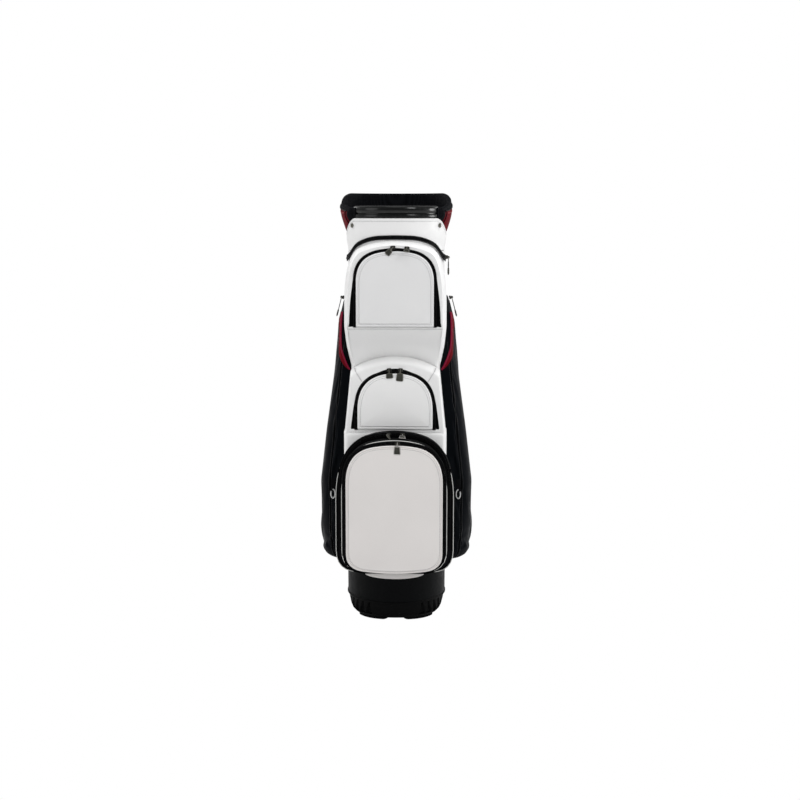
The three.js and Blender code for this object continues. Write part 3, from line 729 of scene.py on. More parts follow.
def build_hood():
    hood = Form()
    degrees = np.concatenate([np.linspace(HOOD_FRONT, 70, 12), np.linspace(72, 288, 100), np.linspace(290, 306, 12)])
    sections = []
    for degree in degrees:
        section = np.array(hood_section(degree))
        side = min(degree, 360 - degree)
        back = float(smooth((side - 90) / 70))
        grow = section[:, 0] * mix(1.0, 0.75, back)
        ring = around(TUBE_A + section[:, 0], TUBE_B + grow, degree, section[:, 1])
        sections.append(ring + outward(ring) * wobble(ring, 34, 1.6, 3)[:, None])
    size = len(sections[0])
    points = np.concatenate(sections)
    faces, marks = [], []
    for k in range(len(sections) - 1):
        side = min(degrees[k], 360 - degrees[k])
        for i in range(size):
            j = (i + 1) % size
            faces.append((k * size + i, k * size + j, (k + 1) * size + j, (k + 1) * size + i))
            outside = 15 <= i <= 21
            marks.append(1 if outside and side > RED_START else 0)
    for base, flip in ((0, 1), ((len(sections) - 1) * size, -1)):
        faces.append(tuple(range(base, base + size))[::flip])
        marks.append(0)
    hood.add(points, faces, marks)
    seam = np.array([ring[15] for ring, d in zip(sections, degrees) if min(d, 360 - d) > RED_START])
    hood.sweep(seam, outward(seam), oval(1.7, 1.7, 10), mark=2)
    for index in (10, -11):
        edge = sections[index][15:23]
        hood.sweep(edge, outward(edge), oval(1.6, 1.6, 8), mark=0)
    for offset in (3, 4):
        line = np.array([mix(ring[16], ring[17], 0.25 * offset - 0.6) for ring, d in zip(sections, degrees)
                         if min(d, 360 - d) > RED_START + 4])
        hood.scatter(line, outward(line), 4.0, STITCH, 3, lift=0.2)
    hood.build("padded_hood", "bag", "red_pu", [MESH, RED, BLACK, RED_THREAD], ["rear_hood"], sharp=60)


def build_dividers():
    low, high = span("divider_frame")
    rows = (0.0,)
    bars = Form()
    half_x = ellipse_of("divider_frame")[0]
    half_y = ellipse_of("divider_frame")[1]
    row_y = 31.0
    profile = band_profile(10.5, high[2] - low[2] + 1.0, 4.0)

    def bar(p, q):
        path = np.linspace(p, q, 14)
        bars.sweep(path, UP, profile)
    bar((0, -half_y, low[2]), (0, half_y, low[2]))
    for y in (-row_y, row_y):
        bar((-half_x, y, low[2]), (half_x, y, low[2]))
    bars.build("divider_bars", "bag", "black_pu", [MESH], ["divider_frame"])
    low, high = span("divider_sheets")
    sheets = Form()
    for x, y, length, along in ((0, 0, half_y, 1), (0, -row_y, 0, 0), (0, row_y, 0, 0)):
        reach = length or half_x - 1.0
        line = np.linspace(-reach, reach, 30)
        zs = np.linspace(low[2], high[2], 24)
        faces, points = [], []
        for face in (-1.2, 1.2):
            for z in zs:
                for s in line:
                    slack = 2.5 * math.sin(math.pi * (z - zs[0]) / (zs[-1] - zs[0])) * noise.noise(
                        Vector((s / 45, z / 60, y / 30)))
                    points.append((face + slack, s, z) if along else (s, y + face + slack, z))
        n, m = len(line), len(zs)
        for layer in (0, 1):
            for r in range(m - 1):
                for c in range(n - 1):
                    a = layer * n * m + r * n + c
                    faces.append((a, a + 1, a + n + 1, a + n))
        rim = [c for c in range(n)] + [r * n + n - 1 for r in range(1, m)] + [(m - 1) * n + c for c in
               range(n - 2, -1, -1)] + [r * n for r in range(m - 2, 0, -1)]
        for i, a in enumerate(rim):
            b = rim[(i + 1) % len(rim)]
            faces.append((a, b, b + n * m, a + n * m))
        sheets.add(points, faces)
    sheets.build("divider_fabric", "bag", "lining", [LINING], ["divider_sheets"])


BAND_DEGREES = (0, 20, 30, 41, 50, 58, 65, 72, 79)
BAND_HEIGHTS = (825, 824, 821, 815, 808.5, 798, 787, 782, 779)


def band_height(degrees):
    return np.interp(np.abs(degrees), BAND_DEGREES, BAND_HEIGHTS)


def build_hood_band():
    """The toothed tape round the neck that the rain hood zips to."""
    tape = Form()
    path = soften(ring_path(7.2, band_height, -79, 79, 130), 12)
    out = outward(path)
    wide = np.linspace(0, 1, 130)
    spread = 1 + 0.55 * smooth((np.abs(wide - 0.5) - 0.36) / 0.14)
    profiles = [np.array(band_profile(9.0 * s, 1.1)) for s in spread]
    tape.sweep(path, out, np.array(profiles))
    tape.scatter(path, out, 2.0, peg(1.2, 4.4, 1.1), 1, lift=1.1)
    for side in (-3.4, 3.4):
        line = path + np.cross(frames(path, out)[0], out) * side
        tape.scatter(line, out, 3.6, STITCH, 2, lift=1.1)
    tape.build("hood_zip_tape", "bag", "black_nylon", [TAPE, COIL, BLACK_THREAD], ["hood_zip_band"])


# ---------------------------------------------------------------- arch outlines of the front pockets

def quad(p, q, r, count):
    t = np.linspace(0, 1, count, endpoint=False)[:, None]
    return (1 - t) ** 2 * np.array(p) + 2 * t * (1 - t) * np.array(q) + t * t * np.array(r)


def straight(p, q, count):
    return mix(np.array(p, float), np.array(q, float), np.linspace(0, 1, count, endpoint=False)[:, None])


FOOT_POINTS = 10 + 6                    # points of an arch's half before its upright side starts


def arch(spec, inset=0.0):
    """A flat-arched door outline in (x, z), from bottom centre round to bottom centre."""
    side, bottom = spec["half"] - inset, spec["bottom"] + inset
    radius, corner = spec["radius"] - inset, spec["corner"]
    centre = spec["top"] - spec["radius"]
    beta = math.asin(spec["arc_half"] / spec["radius"])
    end = (radius * math.sin(beta), centre + radius * math.cos(beta))
    knee = end[1] - (side - end[0]) * math.tan(beta)
    shoulder = (side, knee - spec["shoulder"])
    sweep = np.linspace(beta, 0, 9)
    right = np.vstack([
        straight((0, bottom), (side - corner, bottom), 10),
        quad((side - corner, bottom), (side, bottom), (side, bottom + corner), 6),
        straight((side, bottom + corner), shoulder, 16),
        quad(shoulder, (side, knee), end, 14),
        np.column_stack([radius * np.sin(sweep), centre + radius * np.cos(sweep)]),
    ])
    left = right[-2:0:-1] * [-1, 1]
    return bowed(np.vstack([right, left]), spec)


def arch_spec(node, radius, arc_half, shoulder, corner=2.0, grow=0.0, lift=0.0):
    """An arch over a node's box: grow widens it and raises its top, lift raises its bottom."""
    low, high = span(node)
    return {"half": (high[0] - low[0]) / 2 + grow, "bottom": low[2] + lift, "top": high[2] + grow, "radius": radius,
            "arc_half": arc_half, "shoulder": shoulder, "corner": corner, "back": high[1], "front": low[1]}


def taper(outline, heights, factors):
    scale = np.interp(outline[:, 1], heights, factors)
    return np.column_stack([outline[:, 0] * scale, outline[:, 1]])


def opening(spec, lift, wedge=0.0, reach=1.0, peak=0.0):
    """The hole in the shell round a door: wider at its foot, where the folded gusset shows, and at its peak."""
    outline = arch(spec, -lift)
    outline[:, 1] += peak * np.clip(1 - (outline[:, 0] / 48) ** 2, 0, 1) * (outline[:, 1] > spec["top"] - 30)
    rise = np.clip(1 - (outline[:, 1] - spec["bottom"]) / reach, 0, 1)
    outline[:, 0] *= 1 + wedge * rise / spec["half"]
    outline[:, 1] = np.maximum(outline[:, 1], spec["bottom"] - 1.0)
    return outline


UPPER = arch_spec("upper_pocket_door", 180, 30, 52, grow=0.8)
MID = arch_spec("mid_pocket_door", 120, 28, 62, grow=1.2)
PANEL = arch_spec("ball_pocket_panel", 260, 42, 66, 34)
PANEL["bow"] = 10.0
BALL = arch_spec("ball_pocket_front", 200, 46, 95, 44, lift=9.0)
BALL["bow"] = 6.0
REAR = arch_spec("ball_pocket_rear", 200, 52, 112, 46, grow=-1.5, lift=14.0)
UPPER_HOLE = {"lift": 3.6, "wedge": 14.6, "reach": 120.0, "peak": 3.2}
MID_HOLE = {"lift": 4.2, "wedge": 9.8, "reach": 80.0, "peak": 6.0}
BALL_HOLE = {"lift": 10.5}
PANEL_HOLE = {"lift": 5.5}


def crowned(form, outline, y, crown, seed, ripple=0.5, steps=9, mark=0):
    """Face rings from an outline in to a crowned centre."""
    centre = np.array([0.0, (outline[:, 1].max() + outline[:, 1].min()) / 2])
    rings = []
    for s in np.linspace(1, 0, steps + 1)[:-1]:
        ring = flat(centre + (outline - centre) * s, y - crown * (1 - s ** 2) ** 0.8)
        ring[:, 1] += wobble(ring, 46, ripple, seed) * (1 - s ** 6)
        rings.append(ring)
    hub = np.array([0.0, y - crown, centre[1]])
    hub[1] += wobble(hub[None, :], 46, ripple, seed)[0]
    return rings, hub


def bowed(outline, spec):
    """Curves a door's bottom edge down in the middle and up at its corners."""
    low_part = np.clip(1 - (outline[:, 1] - spec["bottom"]) / 90, 0, 1)
    outline = outline.copy()
    outline[:, 1] += spec.get("bow", 0.0) * low_part * (outline[:, 0] / spec["half"]) ** 2
    return outline


def door(name, node, spec, body, finish, crown, seed, bound=3.4):
    """A padded door: rolled binding, a sewn channel inside it and a crowned face."""
    back, front = spec["back"], spec["front"]
    rings = [flat(arch(spec, i), y) for i, y in (
        (2.2, back), (0.7, back - 0.1), (0.0, back - 0.9), (-0.1, mix(back, front, 0.55)), (0.1, front + 1.1),
        (0.7, front + 0.2), (bound * 0.5, front - 0.5), (bound - 0.3, front - 0.2), (bound + 0.1, front + 0.7),
        (bound + 0.9, front + 0.8), (bound + 1.5, front - 0.1), (bound + 2.6, front - 0.7), (bound + 4.4, front - 1.0))]
    face, hub = crowned(None, arch(spec, bound + 4.6), front - 1.0, crown, seed)
    form = Form().rings(rings + face, end=hub)
    seam = flat(arch(spec, bound + 3.2), front - 0.85)
    form.scatter(seam, FRONT, 3.4, STITCH, 1, closed=True)
    pocket_lining = [flat(arch(spec, i), y) for i, y in ((4.0, back + 0.3), (3.4, back + 0.1), (4.4, back - 0.6))]
    form.rings(pocket_lining, 2)
    return form.build(name, body, "white_pu", [finish, GREY_THREAD, LINING], [node])


def zip_line(prefix, spec, y, lift, body_out, body_in, span_in=5.0, span_out=5.5):
    """Two tape halves with their coils, meeting on a line that follows the door's edge."""
    line = flat(arch(spec, -lift), y)[FOOT_POINTS:1 - FOOT_POINTS or None]
    for word, body, sign, width in (("outer", body_out, 1, span_out), ("inner", body_in, -1, span_in)):
        half = Form()
        along, across, _ = frames(line, FRONT)
        path = line + across * (sign * (width / 2 + 0.15))
        half.sweep(path, FRONT, band_profile(width, 0.9, 0.3))
        coil = line + across * (sign * 1.25)
        half.scatter(coil, FRONT, 2.0, peg(1.25, 2.3, 1.3, 0.6), 1, lift=0.8)
        cord = line + across * (sign * 2.5) + FRONT * 1.2
        half.sweep(cord, FRONT, oval(0.55, 0.55, 6), mark=1)
        half.build(f"{prefix}_zip_{word}", body, "black_nylon", [TAPE, COIL])


def gusset(name, side, foot, head, width, y):
    """Folded side cloth beside a door: a pleated double sheet, fixed in place."""
    foot = np.array([side * foot[0], y, foot[1]])
    head = np.array([side * head[0], y, head[1]])
    rise = head - foot
    inward = unit(np.array([-side * abs(rise[2]), 0.0, -abs(rise[0])]))
    columns, rows = 15, 15
    grid = []
    for layer in (0.0, 0.7):
        for u in np.linspace(0, 1, columns):
            pleat = 0.5 * math.sin(u * math.pi * 3)
            for v in np.linspace(0, 1, rows):
                grid.append(foot + rise * v + inward * width * u + FRONT * (layer + pleat * layer * 0.5))
    faces = []
    for layer in (0, 1):
        for c in range(columns - 1):
            for r in range(rows - 1):
                a = layer * columns * rows + c * rows + r
                faces.append((a, a + 1, a + rows + 1, a + rows))
    rim = [r for r in range(rows)] + [c * rows + rows - 1 for c in range(1, columns)]
    rim += [(columns - 1) * rows + r for r in range(rows - 2, -1, -1)] + [c * rows for c in range(columns - 2, 0, -1)]
    for i, a in enumerate(rim):
        b = rim[(i + 1) % len(rim)]
        faces.append((a, b, b + columns * rows, a + columns * rows))
    piece = Form().add(grid, faces).build(name, None, "black_nylon", [GUSSET])
    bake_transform(piece)
    return piece


def hollow(levels, hole, cavity, y_face, floor):
    """Rings from a shell's last outer ring over its face, round the hole's edge and into the pocket."""
    last = levels[-1][:, [0, 2]]
    rings = [flat(mix(last, hole, t), y_face) for t in (0.3, 0.6, 0.85)]
    rim = mix(last, hole, 0.97)
    rings += [flat(rim, y_face - 0.5), flat(hole, y_face - 0.3), flat(mix(last, hole, 1.02), y_face + 1.2)]
    ledge = [flat(mix(last, hole, 1.03), y_face + 2.2), flat(cavity, y_face + 2.4)]
    deep = [flat(cavity, mix(y_face + 3, floor, t)) for t in (0.0, 0.5, 1.0)]
    marks = [0] * 5 + [1] * (len(ledge) + len(deep))
    return rings + ledge + deep, marks


BODY_A, BODY_B = span("front_cover")[1][0] - 2.0, -span("front_cover")[0][1] - 2.0


def off_body(points):
    """Brings points that lie inside the bag's body forward, to just under its skin."""
    points = points.copy()
    room = 1 - (points[:, 0] / BODY_A) ** 2
    skin_y = -BODY_B * np.sqrt(np.clip(room, 0.0, None))
    inside = (room > 0) & (points[:, 1] > skin_y)
    points[inside, 1] = skin_y[inside]
    return points


def backed(rings):
    """Fits a pocket's rings to the body behind them, and closes its back along the body's curve."""
    fitted = [off_body(ring) for ring in rings]
    hub = fitted[0].mean(0)
    back = [off_body(mix(hub, fitted[0], reach)) for reach in (0.04, 0.3, 0.55, 0.8)]
    return back + fitted, len(back)


def slope_back(points, fold, foot, y_fold, y_foot, y_back):
    """Leans a pocket's lower face back, from y_fold at the fold line to y_foot at its bottom edge."""
    t = smooth((fold + 5 - points[:, 2]) / (fold - foot) * 0.9) * 0.5 + 0.5 * np.clip((fold - points[:, 2]) / (fold - foot), 0, 1)
    face = y_fold + (y_foot - y_fold) * t
    scale = (face - y_back) / (y_fold - y_back)
    points = points.copy()
    points[:, 1] = y_back + (points[:, 1] - y_back) * scale
    return points


def build_upper_pocket():
    low, high = span("upper_pocket_shell")
    y_face = low[1]
    outer = {"half": high[0], "bottom": low[2] - 13, "top": high[2] + 5.5, "radius": 190.0, "arc_half": 74.0,
             "shoulder": 108.0, "corner": 3.0}
    levels = []
    for y, inset, narrow in ((-34, 0, 9), (-58, 0, 3.5), (-84, 0, 0.5), (-112, 0, 0), (-128, 1.2, 0), (-140, 3.0, 0),
                             (-149, 5.0, 0), (-155, 6.8, 0), (-158.4, 8.0, 0), (y_face - 0.2, 9.2, 0)):
        outline = taper(arch(outer, inset), (low[2], 600, 640), (0.885, 0.965, 1.0))
        outline[:, 0] *= 1 - narrow / outer["half"]
        levels.append(flat(outline, y))
    hole = opening(UPPER, **UPPER_HOLE)
    hole[:, 0] = np.clip(hole[:, 0], -96.9, 96.9)
    rings, marks = hollow(levels, hole, arch(UPPER, 6), y_face, -122)
    shaped = []
    for ring in levels + rings:
        lift = 22 * (1 - (ring[:, 0] / 96) ** 2) * smooth((592 - ring[:, 2]) / 40)
        ring = slope_back(ring, 641, low[2], y_face, -106, -34)
        ring[:, 2] += lift
        ring[:, 1] += wobble(ring, 60, 0.7, 11)
        shaped.append(ring)
    shaped, extra = backed(shaped)
    form = Form().rings(shaped, [0] * (extra + len(levels)) + marks)
    seam = np.array([(x, y_face - 0.3, UPPER["bottom"] - 1.6) for x in np.linspace(-97, 97, 60)])
    form.sweep(seam, FRONT, oval(0.9, 0.9, 8), mark=0)
    form.scatter(seam - UP * 3.4 + FRONT * 0.1, FRONT, 3.6, STITCH, 2)
    form.build("upper_shell", "bag", "white_pu", [WHITE, LINING, GREY_THREAD], ["upper_pocket_shell"])
    door("upper_door_panel", "upper_pocket_door", UPPER, "upper_door", WHITE_DOOR_SHADED, 2.4, 21)
    zip_line("upper", UPPER, y_face - 0.1, 3.0, "bag", "upper_door", 4.6, 3.2)
    for word, side in (("left", -1), ("right", 1)):
        gusset(f"upper_gusset_{word}", side, (97.0, UPPER["bottom"] - 1), (84.5, UPPER["bottom"] + 102), 20, y_face + 1.0)


def build_mid_pocket():
    low, high = span("mid_pocket_shell")
    y_face = low[1]
    levels = []
    for y, inset, narrow, drop in ((-36, 0, 9, 0), (-60, 0, 3.5, 0), (-86, 0, 0.5, 0), (-102, 0, 0, 0), (-118, 0, 0, 1),
                                   (-130, 0.8, 0, 3), (-138, 2.0, 0, 5), (-142.6, 3.0, 0, 6.5),
                                   (-145.2, 4.2, 0, 7.5), (y_face - 0.1, 5.8, 0, 8)):
        outer = {"half": high[0], "bottom": low[2], "top": high[2] + 7 - drop, "radius": 213.0, "arc_half": 84.0,
                 "shoulder": 5.0, "corner": 3.0}
        outline = taper(arch(outer, inset), (low[2], 417, 535, 560), (1.0, 1.0, 0.89, 0.865))
        outline[:, 0] *= 1 - narrow / outer["half"]
        levels.append(flat(outline, y))
    rings, marks = hollow(levels, opening(MID, **MID_HOLE), arch(MID, 6), y_face, -123)
    shaped = []
    for ring in levels + rings:
        ring[:, 1] += wobble(ring, 52, 0.7, 12)
        shaped.append(ring)
    shaped, extra = backed(shaped)
    form = Form().rings(shaped, [0] * (extra + len(levels)) + marks)
    form.build("mid_shell", "bag", "white_pu", [WHITE, LINING, GREY_THREAD], ["mid_pocket_shell"])
    door("mid_door_panel", "mid_pocket_door", MID, "mid_door", WHITE, 2.2, 22)
    zip_line("mid", MID, y_face - 0.1, 3.6, "bag", "mid_door", 5.0, 3.2)
    for word, side in (("left", -1), ("right", 1)):
        gusset(f"mid_gusset_{word}", side, (92.0, MID["bottom"] - 1), (84.5, MID["bottom"] + 58), 17, y_face + 1.0)
    build_darts(y_face, BVHTree.FromPolygons([Vector(p) for p in form.points], form.faces))
    build_mid_band(low[2], MID["bottom"] - 1.5, high[0], y_face)


def build_darts(y_face, shell):
    """Short slanted seams between the middle shell's top corners and its zip."""
    darts = Form()
    for side in (-1, 1):
        t = np.linspace(0, 1, 14)
        line = np.column_stack([side * mix(85.0, 68.0, t), np.full(14, y_face), mix(556.0, 529.0, t)])
        line, facing = drape(shell, line, np.tile(FRONT, (14, 1)), 0.3)
        darts.sweep(line, facing, oval(0.5, 0.5, 6))
        darts.scatter(line + np.array([side * 2.0, 0, 0.8]), facing, 3.0, STITCH, 1)
    darts.build("mid_shell_darts", "bag", "white_pu", [WHITE, GREY_THREAD])


def build_mid_band(z0, z1, half, y_face):
    """The plain white band below the middle pocket, sewn over the shell."""
    box = {"half": half + 1.2, "bottom": z0 + 1, "top": z1 + 0.4, "radius": 2000.0, "arc_half": 95.0, "shoulder": 6.0,
           "corner": 4.0}
    rings = [flat(arch(box, i), y) for i, y in ((4, -60), (1.5, -60.5), (0, -64), (0, -100), (0.2, -124), (1.6, -136),
                                                (3.8, -143), (6.0, -146.6), (8.4, y_face - 2.4))]
    face, hub = crowned(None, arch(box, 8.6), y_face - 2.5, 0.6, 31, 0.6)
    form = Form().rings(backed(rings)[0] + face, end=hub)
    seam = np.array([(x, y_face - 2.6, z1 - 5.0) for x in np.linspace(-94, 94, 56)])
    form.scatter(seam, FRONT, 3.6, STITCH, 1, lift=0.1)
    form.build("mid_lower_band", "bag", "white_pu", [WHITE, GREY_THREAD])


def compartment(name, node, spec, body, y_back, y_front, levels, hole, cavity, floor, seed, extra=None):
    """A deep black compartment with white piping round its front edge."""
    rings = []
    for y, inset, narrow in levels:
        outline = arch(spec, inset)
        outline[:, 0] *= 1 - narrow / spec["half"]
        rings.append(flat(outline, y))
    inner, marks = hollow(rings, hole, cavity, y_front, floor)
    shaped = []
    for ring in rings + inner:
        ring[:, 1] += wobble(ring, 40, 0.6, seed)
        shaped.append(ring)
    extra = 0
    if body == "bag":
        shaped, extra = backed(shaped)
    form = Form().rings(shaped, [0] * (extra + len(rings)) + marks)
    edge = flat(arch(spec, 0.5), y_front + 0.9)
    form.sweep(edge, FRONT + 0 * edge, oval(0.85, 0.85, 10), closed=True, mark=2)
    return form.build(name, body, "black_nylon", [GUSSET, LINING, PIPING], [node])


def build_ball_pocket():
    y_rear, y_front = span("ball_pocket_rear")[0][1], BALL["front"]
    rear_levels = [(-38, 0, 22), (-60, 0, 19), (-84, 0, 17.5), (-96, 0, 12), (-101, 0, 4), (-108, 0, 1), (-130, -0.6, 0),
                   (-160, -0.6, 0), (-180, 0, 0), (y_rear + 2.6, 0.4, 0), (y_rear + 0.6, 1.6, 0), (y_rear, 3.4, 0)]
    rear_hole = opening(BALL, **BALL_HOLE)
    compartment("ball_rear_shell", "ball_pocket_rear", REAR, "bag", -38, y_rear, rear_levels, rear_hole, arch(BALL, 6),
                -150, 41)
    front_levels = [(BALL["back"], 2.0, 0), (BALL["back"] - 0.6, 0.6, 0), (BALL["back"] - 4, 0, 0),
                    (mix(BALL["back"], y_front, 0.3), -0.9, 0), (mix(BALL["back"], y_front, 0.5), -0.2, 0),
                    (mix(BALL["back"], y_front, 0.7), -0.9, 0), (y_front + 4, 0, 0), (y_front + 1.6, 0.5, 0),
                    (y_front + 0.4, 1.4, 0), (y_front, 3.0, 0)]
    compartment("ball_front_shell", "ball_pocket_front", BALL, "ball_front", BALL["back"], y_front, front_levels,
                opening(PANEL, **PANEL_HOLE), arch(PANEL, 6), BALL["back"] - 4.5, 42)
    door("ball_panel_face", "ball_pocket_panel", PANEL, "ball_panel", WHITE_LOW_SHADED, 4.0, 23, 2.6)
    zip_line("ball_outer", BALL, y_rear + 0.1, 5.2, "bag", "ball_front", 5.0, 5.0)
    zip_line("ball_inner", PANEL, y_front - 0.1, 4.6, "ball_front", "ball_panel", 5.0, 3.2)
    for word, side in (("left", -1), ("right", 1)):
        gusset(f"ball_gusset_{word}", side, (117.0, 190), (117.0, 352), 16, y_rear + 0.9)
        gusset(f"panel_gusset_{word}", side, (103.5, 190), (103.5, 344), 12, y_front + 0.9)
    build_toe(y_rear)


def build_toe(y_rear):
    """The pale crescent of the pocket's underside that shows below the panel."""
    toe = Form()
    sections = []
    for x in np.linspace(-61, 61, 40):
        drop = 13.5 * math.sqrt(max(0.0, 1 - (x / 62) ** 2)) + 0.4
        y0, z1 = y_rear - 6, 131.0
        sections.append(np.array([(x, y0 + 18, z1), (x, y0 + 3, z1 + 0.4), (x, y0, z1 - 0.2), (x, y0 - 0.6, z1 - drop * 0.4),
                                  (x, y0 + 1.5, z1 - drop * 0.85), (x, y0 + 5, z1 - drop), (x, y0 + 18, z1 - drop * 0.7)]))
    toe.rings(sections)
    # the shaded lower leather paints the shadow on the pocket's underside
    toe.build("ball_pocket_toe", "bag", "white_pu", [WHITE_LOW_SHADED])


# ---------------------------------------------------------------- side pockets

SIDE_HEIGHTS = (128, 134, 146, 200, 300, 423, 530, 636, 668, 700)
SIDE_HALVES = (142, 155, 162, 167, 169, 154, 139, 127, 119, 111)
SIDE_CENTRE = 62.0
SIDE_POWER = 3.2


def side_section(z, turns):
    """The right pocket's outline at height z: a rounded box, cut off where it meets the body."""
    low, high = span("side_pocket_right")
    width = np.interp(z, SIDE_HEIGHTS, SIDE_HALVES)
    recede = float(smooth((z - 545) / 155))
    y0 = mix(low[1], -12.0, recede)
    y1 = mix(high[1], 48.0, recede)
    shrink = 9 * (1 - float(smooth((z - 128) / 28)))
    half_y = (y1 - y0) / 2 - shrink
    c, s = np.cos(turns), np.sin(turns)
    x = SIDE_CENTRE + (width - SIDE_CENTRE) * np.sign(c) * np.abs(c) ** (2 / SIDE_POWER)
    y = (y0 + y1) / 2 + half_y * np.sign(s) * np.abs(s) ** (2 / SIDE_POWER)
    grow = 8.6 if z < 331 else 5.0
    body = (TUBE_A + grow) * np.sqrt(np.maximum(0.0, 1 - (y / (TUBE_B + grow)) ** 2))
    return np.column_stack([np.maximum(x, body), y, np.full(len(turns), float(z))])


def side_shape():
    low, high = span("side_pocket_right")
    turns = np.linspace(-math.pi, math.pi, 96, endpoint=False)
    foot = low[2] + 17
    heights = np.concatenate([[foot + 0.5, foot + 2, foot + 5], np.linspace(foot + 9, high[2] - 6, 70),
                              [high[2] - 3, high[2] - 0.5]])
    return [side_section(z, turns) for z in heights]


def cloth_mesh(rings, voxel):
    form = Form().rings(rings)
    mesh = bpy.data.meshes.new("pocket_cloth")
    mesh.from_pydata((np.array(form.points) * MM).tolist(), [], form.faces)
    tidy = bmesh.new()
    tidy.from_mesh(mesh)
    bmesh.ops.recalc_face_normals(tidy, faces=tidy.faces)
    tidy.to_mesh(mesh)
    tidy.free()
    pad = bpy.data.objects.new("pocket_cloth", mesh)
    bpy.context.scene.collection.objects.link(pad)
    remesh = pad.modifiers.new("remesh", "REMESH")
    remesh.mode = "VOXEL"
    remesh.voxel_size = voxel * MM
    apply_modifiers(pad)
    return pad


def apply_modifiers(piece):
    graph = bpy.context.evaluated_depsgraph_get()
    fresh = bpy.data.meshes.new_from_object(piece.evaluated_get(graph))
    piece.modifiers.clear()
    piece.data = fresh


def coordinates(mesh):
    flat_points = np.zeros(len(mesh.vertices) * 3)
    mesh.vertices.foreach_get("co", flat_points)
    return flat_points.reshape(-1, 3) / MM


def hold_weights(points):
    """Where the side pocket is sewn down: against the body, at its top and bottom."""
    inner = 1 - smooth((points[:, 0] - 112) / 16)
    top = smooth((points[:, 2] - 628) / 26)
    bottom = 1 - smooth((points[:, 2] - 136) / 26)
    return np.clip(np.maximum.reduce([inner, top, bottom]), 0, 1)


def settle(pad, frames_count, cap):
    """Lets the pocket's cloth swell and crease, then limits how far any point has moved."""
    rest = coordinates(pad.data)
    group = pad.vertex_groups.new(name="hold")
    for index, weight in enumerate(hold_weights(rest)):
        group.add([index], float(weight), "REPLACE")
    cloth = pad.modifiers.new("cloth", "CLOTH")
    settings = cloth.settings
    settings.quality = 6
    settings.mass = 0.25
    settings.tension_stiffness = 18
    settings.compression_stiffness = 12
    settings.shear_stiffness = 6
    settings.bending_stiffness = 0.25
    settings.use_pressure = True
    settings.uniform_pressure_force = 2.4
    settings.shrink_min = -0.03
    settings.vertex_group_mass = "hold"
    settings.pin_stiffness = 1.0
    settings.effector_weights.gravity = 0.35
    cloth.point_cache.frame_start = 1
    cloth.point_cache.frame_end = frames_count
    scene = bpy.context.scene
    for number in range(1, frames_count + 1):
        scene.frame_set(number)
    apply_modifiers(pad)
    scene.frame_set(1)
    moved = coordinates(pad.data) - rest
    length = np.linalg.norm(moved, axis=1, keepdims=True)
    moved *= np.tanh(length / cap) * cap / np.maximum(length, 1e-6)
    return rest + moved


def pocket_surface():
    """The right side pocket's final surface as points and faces."""
    pad = cloth_mesh(side_shape(), 5.0)
    points = settle(pad, 20, 4.0)
    faces = [tuple(face.vertices) for face in pad.data.polygons]
    bpy.data.objects.remove(pad)
    return points, faces


def subdivided(points, faces):
    mesh = bpy.data.meshes.new("pocket_fine")
    mesh.from_pydata(points.tolist(), [], faces)
    helper = bpy.data.objects.new("pocket_fine", mesh)
    bpy.context.scene.collection.objects.link(helper)
    fine = helper.modifiers.new("fine", "SUBSURF")
    fine.levels = 1
    apply_modifiers(helper)
    fresh = coordinates(helper.data) * MM
    fresh_faces = [tuple(face.vertices) for face in helper.data.polygons]
    bpy.data.objects.remove(helper)
    return fresh, fresh_faces


def drape(tree, path, aims, lift):
    """Drops a path on to the pocket along its aims, and says which way the surface faces there."""
    placed, facing = [], []
    for point, aim in zip(path, aims):
        hit, normal, _, _ = tree.ray_cast(Vector(point + aim * 60), Vector(-aim))
        if hit is None:
            hit, normal, _, _ = tree.find_nearest(Vector(point))
        normal = np.array(normal)
        normal = normal if normal @ aim > 0 else -normal
        placed.append(np.array(hit) + normal * lift)
        facing.append(normal)
    return np.array(placed), np.array(facing)


def soften(path, passes=2):
    for _ in range(passes):
        path = path.copy()
        path[1:-1] = (path[:-2] + 2 * path[1:-1] + path[2:]) / 4
    return path


def section_point(z, turn):
    """A point on the right pocket and the way the pocket faces there."""
    here = side_section(z, np.array([turn - 0.02, turn, turn + 0.02]))
    tangent = here[2] - here[0]
    return here[1], unit(np.array([tangent[1], -tangent[0], 0.0]))


def pocket_line(tree, stops, count, lift):
    """A draped line through (height, turn) stops on the right pocket."""
    stops = np.array(stops, float)
    t = np.linspace(0, len(stops) - 1, count)
    zs = np.interp(t, range(len(stops)), stops[:, 0])
    turns = np.interp(t, range(len(stops)), stops[:, 1])
    pairs = [section_point(z, a) for z, a in zip(zs, turns)]
    path, facing = drape(tree, [p for p, _ in pairs], [n for _, n in pairs], lift)
    return soften(path), soften(facing, 4)


PIPE_STOPS = [(546, -1.27), (556, -1.17), (568, -1.06), (589, -0.86), (611, -0.75), (633, -0.67), (662, -0.48)]
RED_HEIGHTS = (546, 556, 568, 589, 611, 633, 664)
RED_WIDTHS = (0.05, 0.14, 0.21, 0.26, 0.28, 0.36, 0.46)


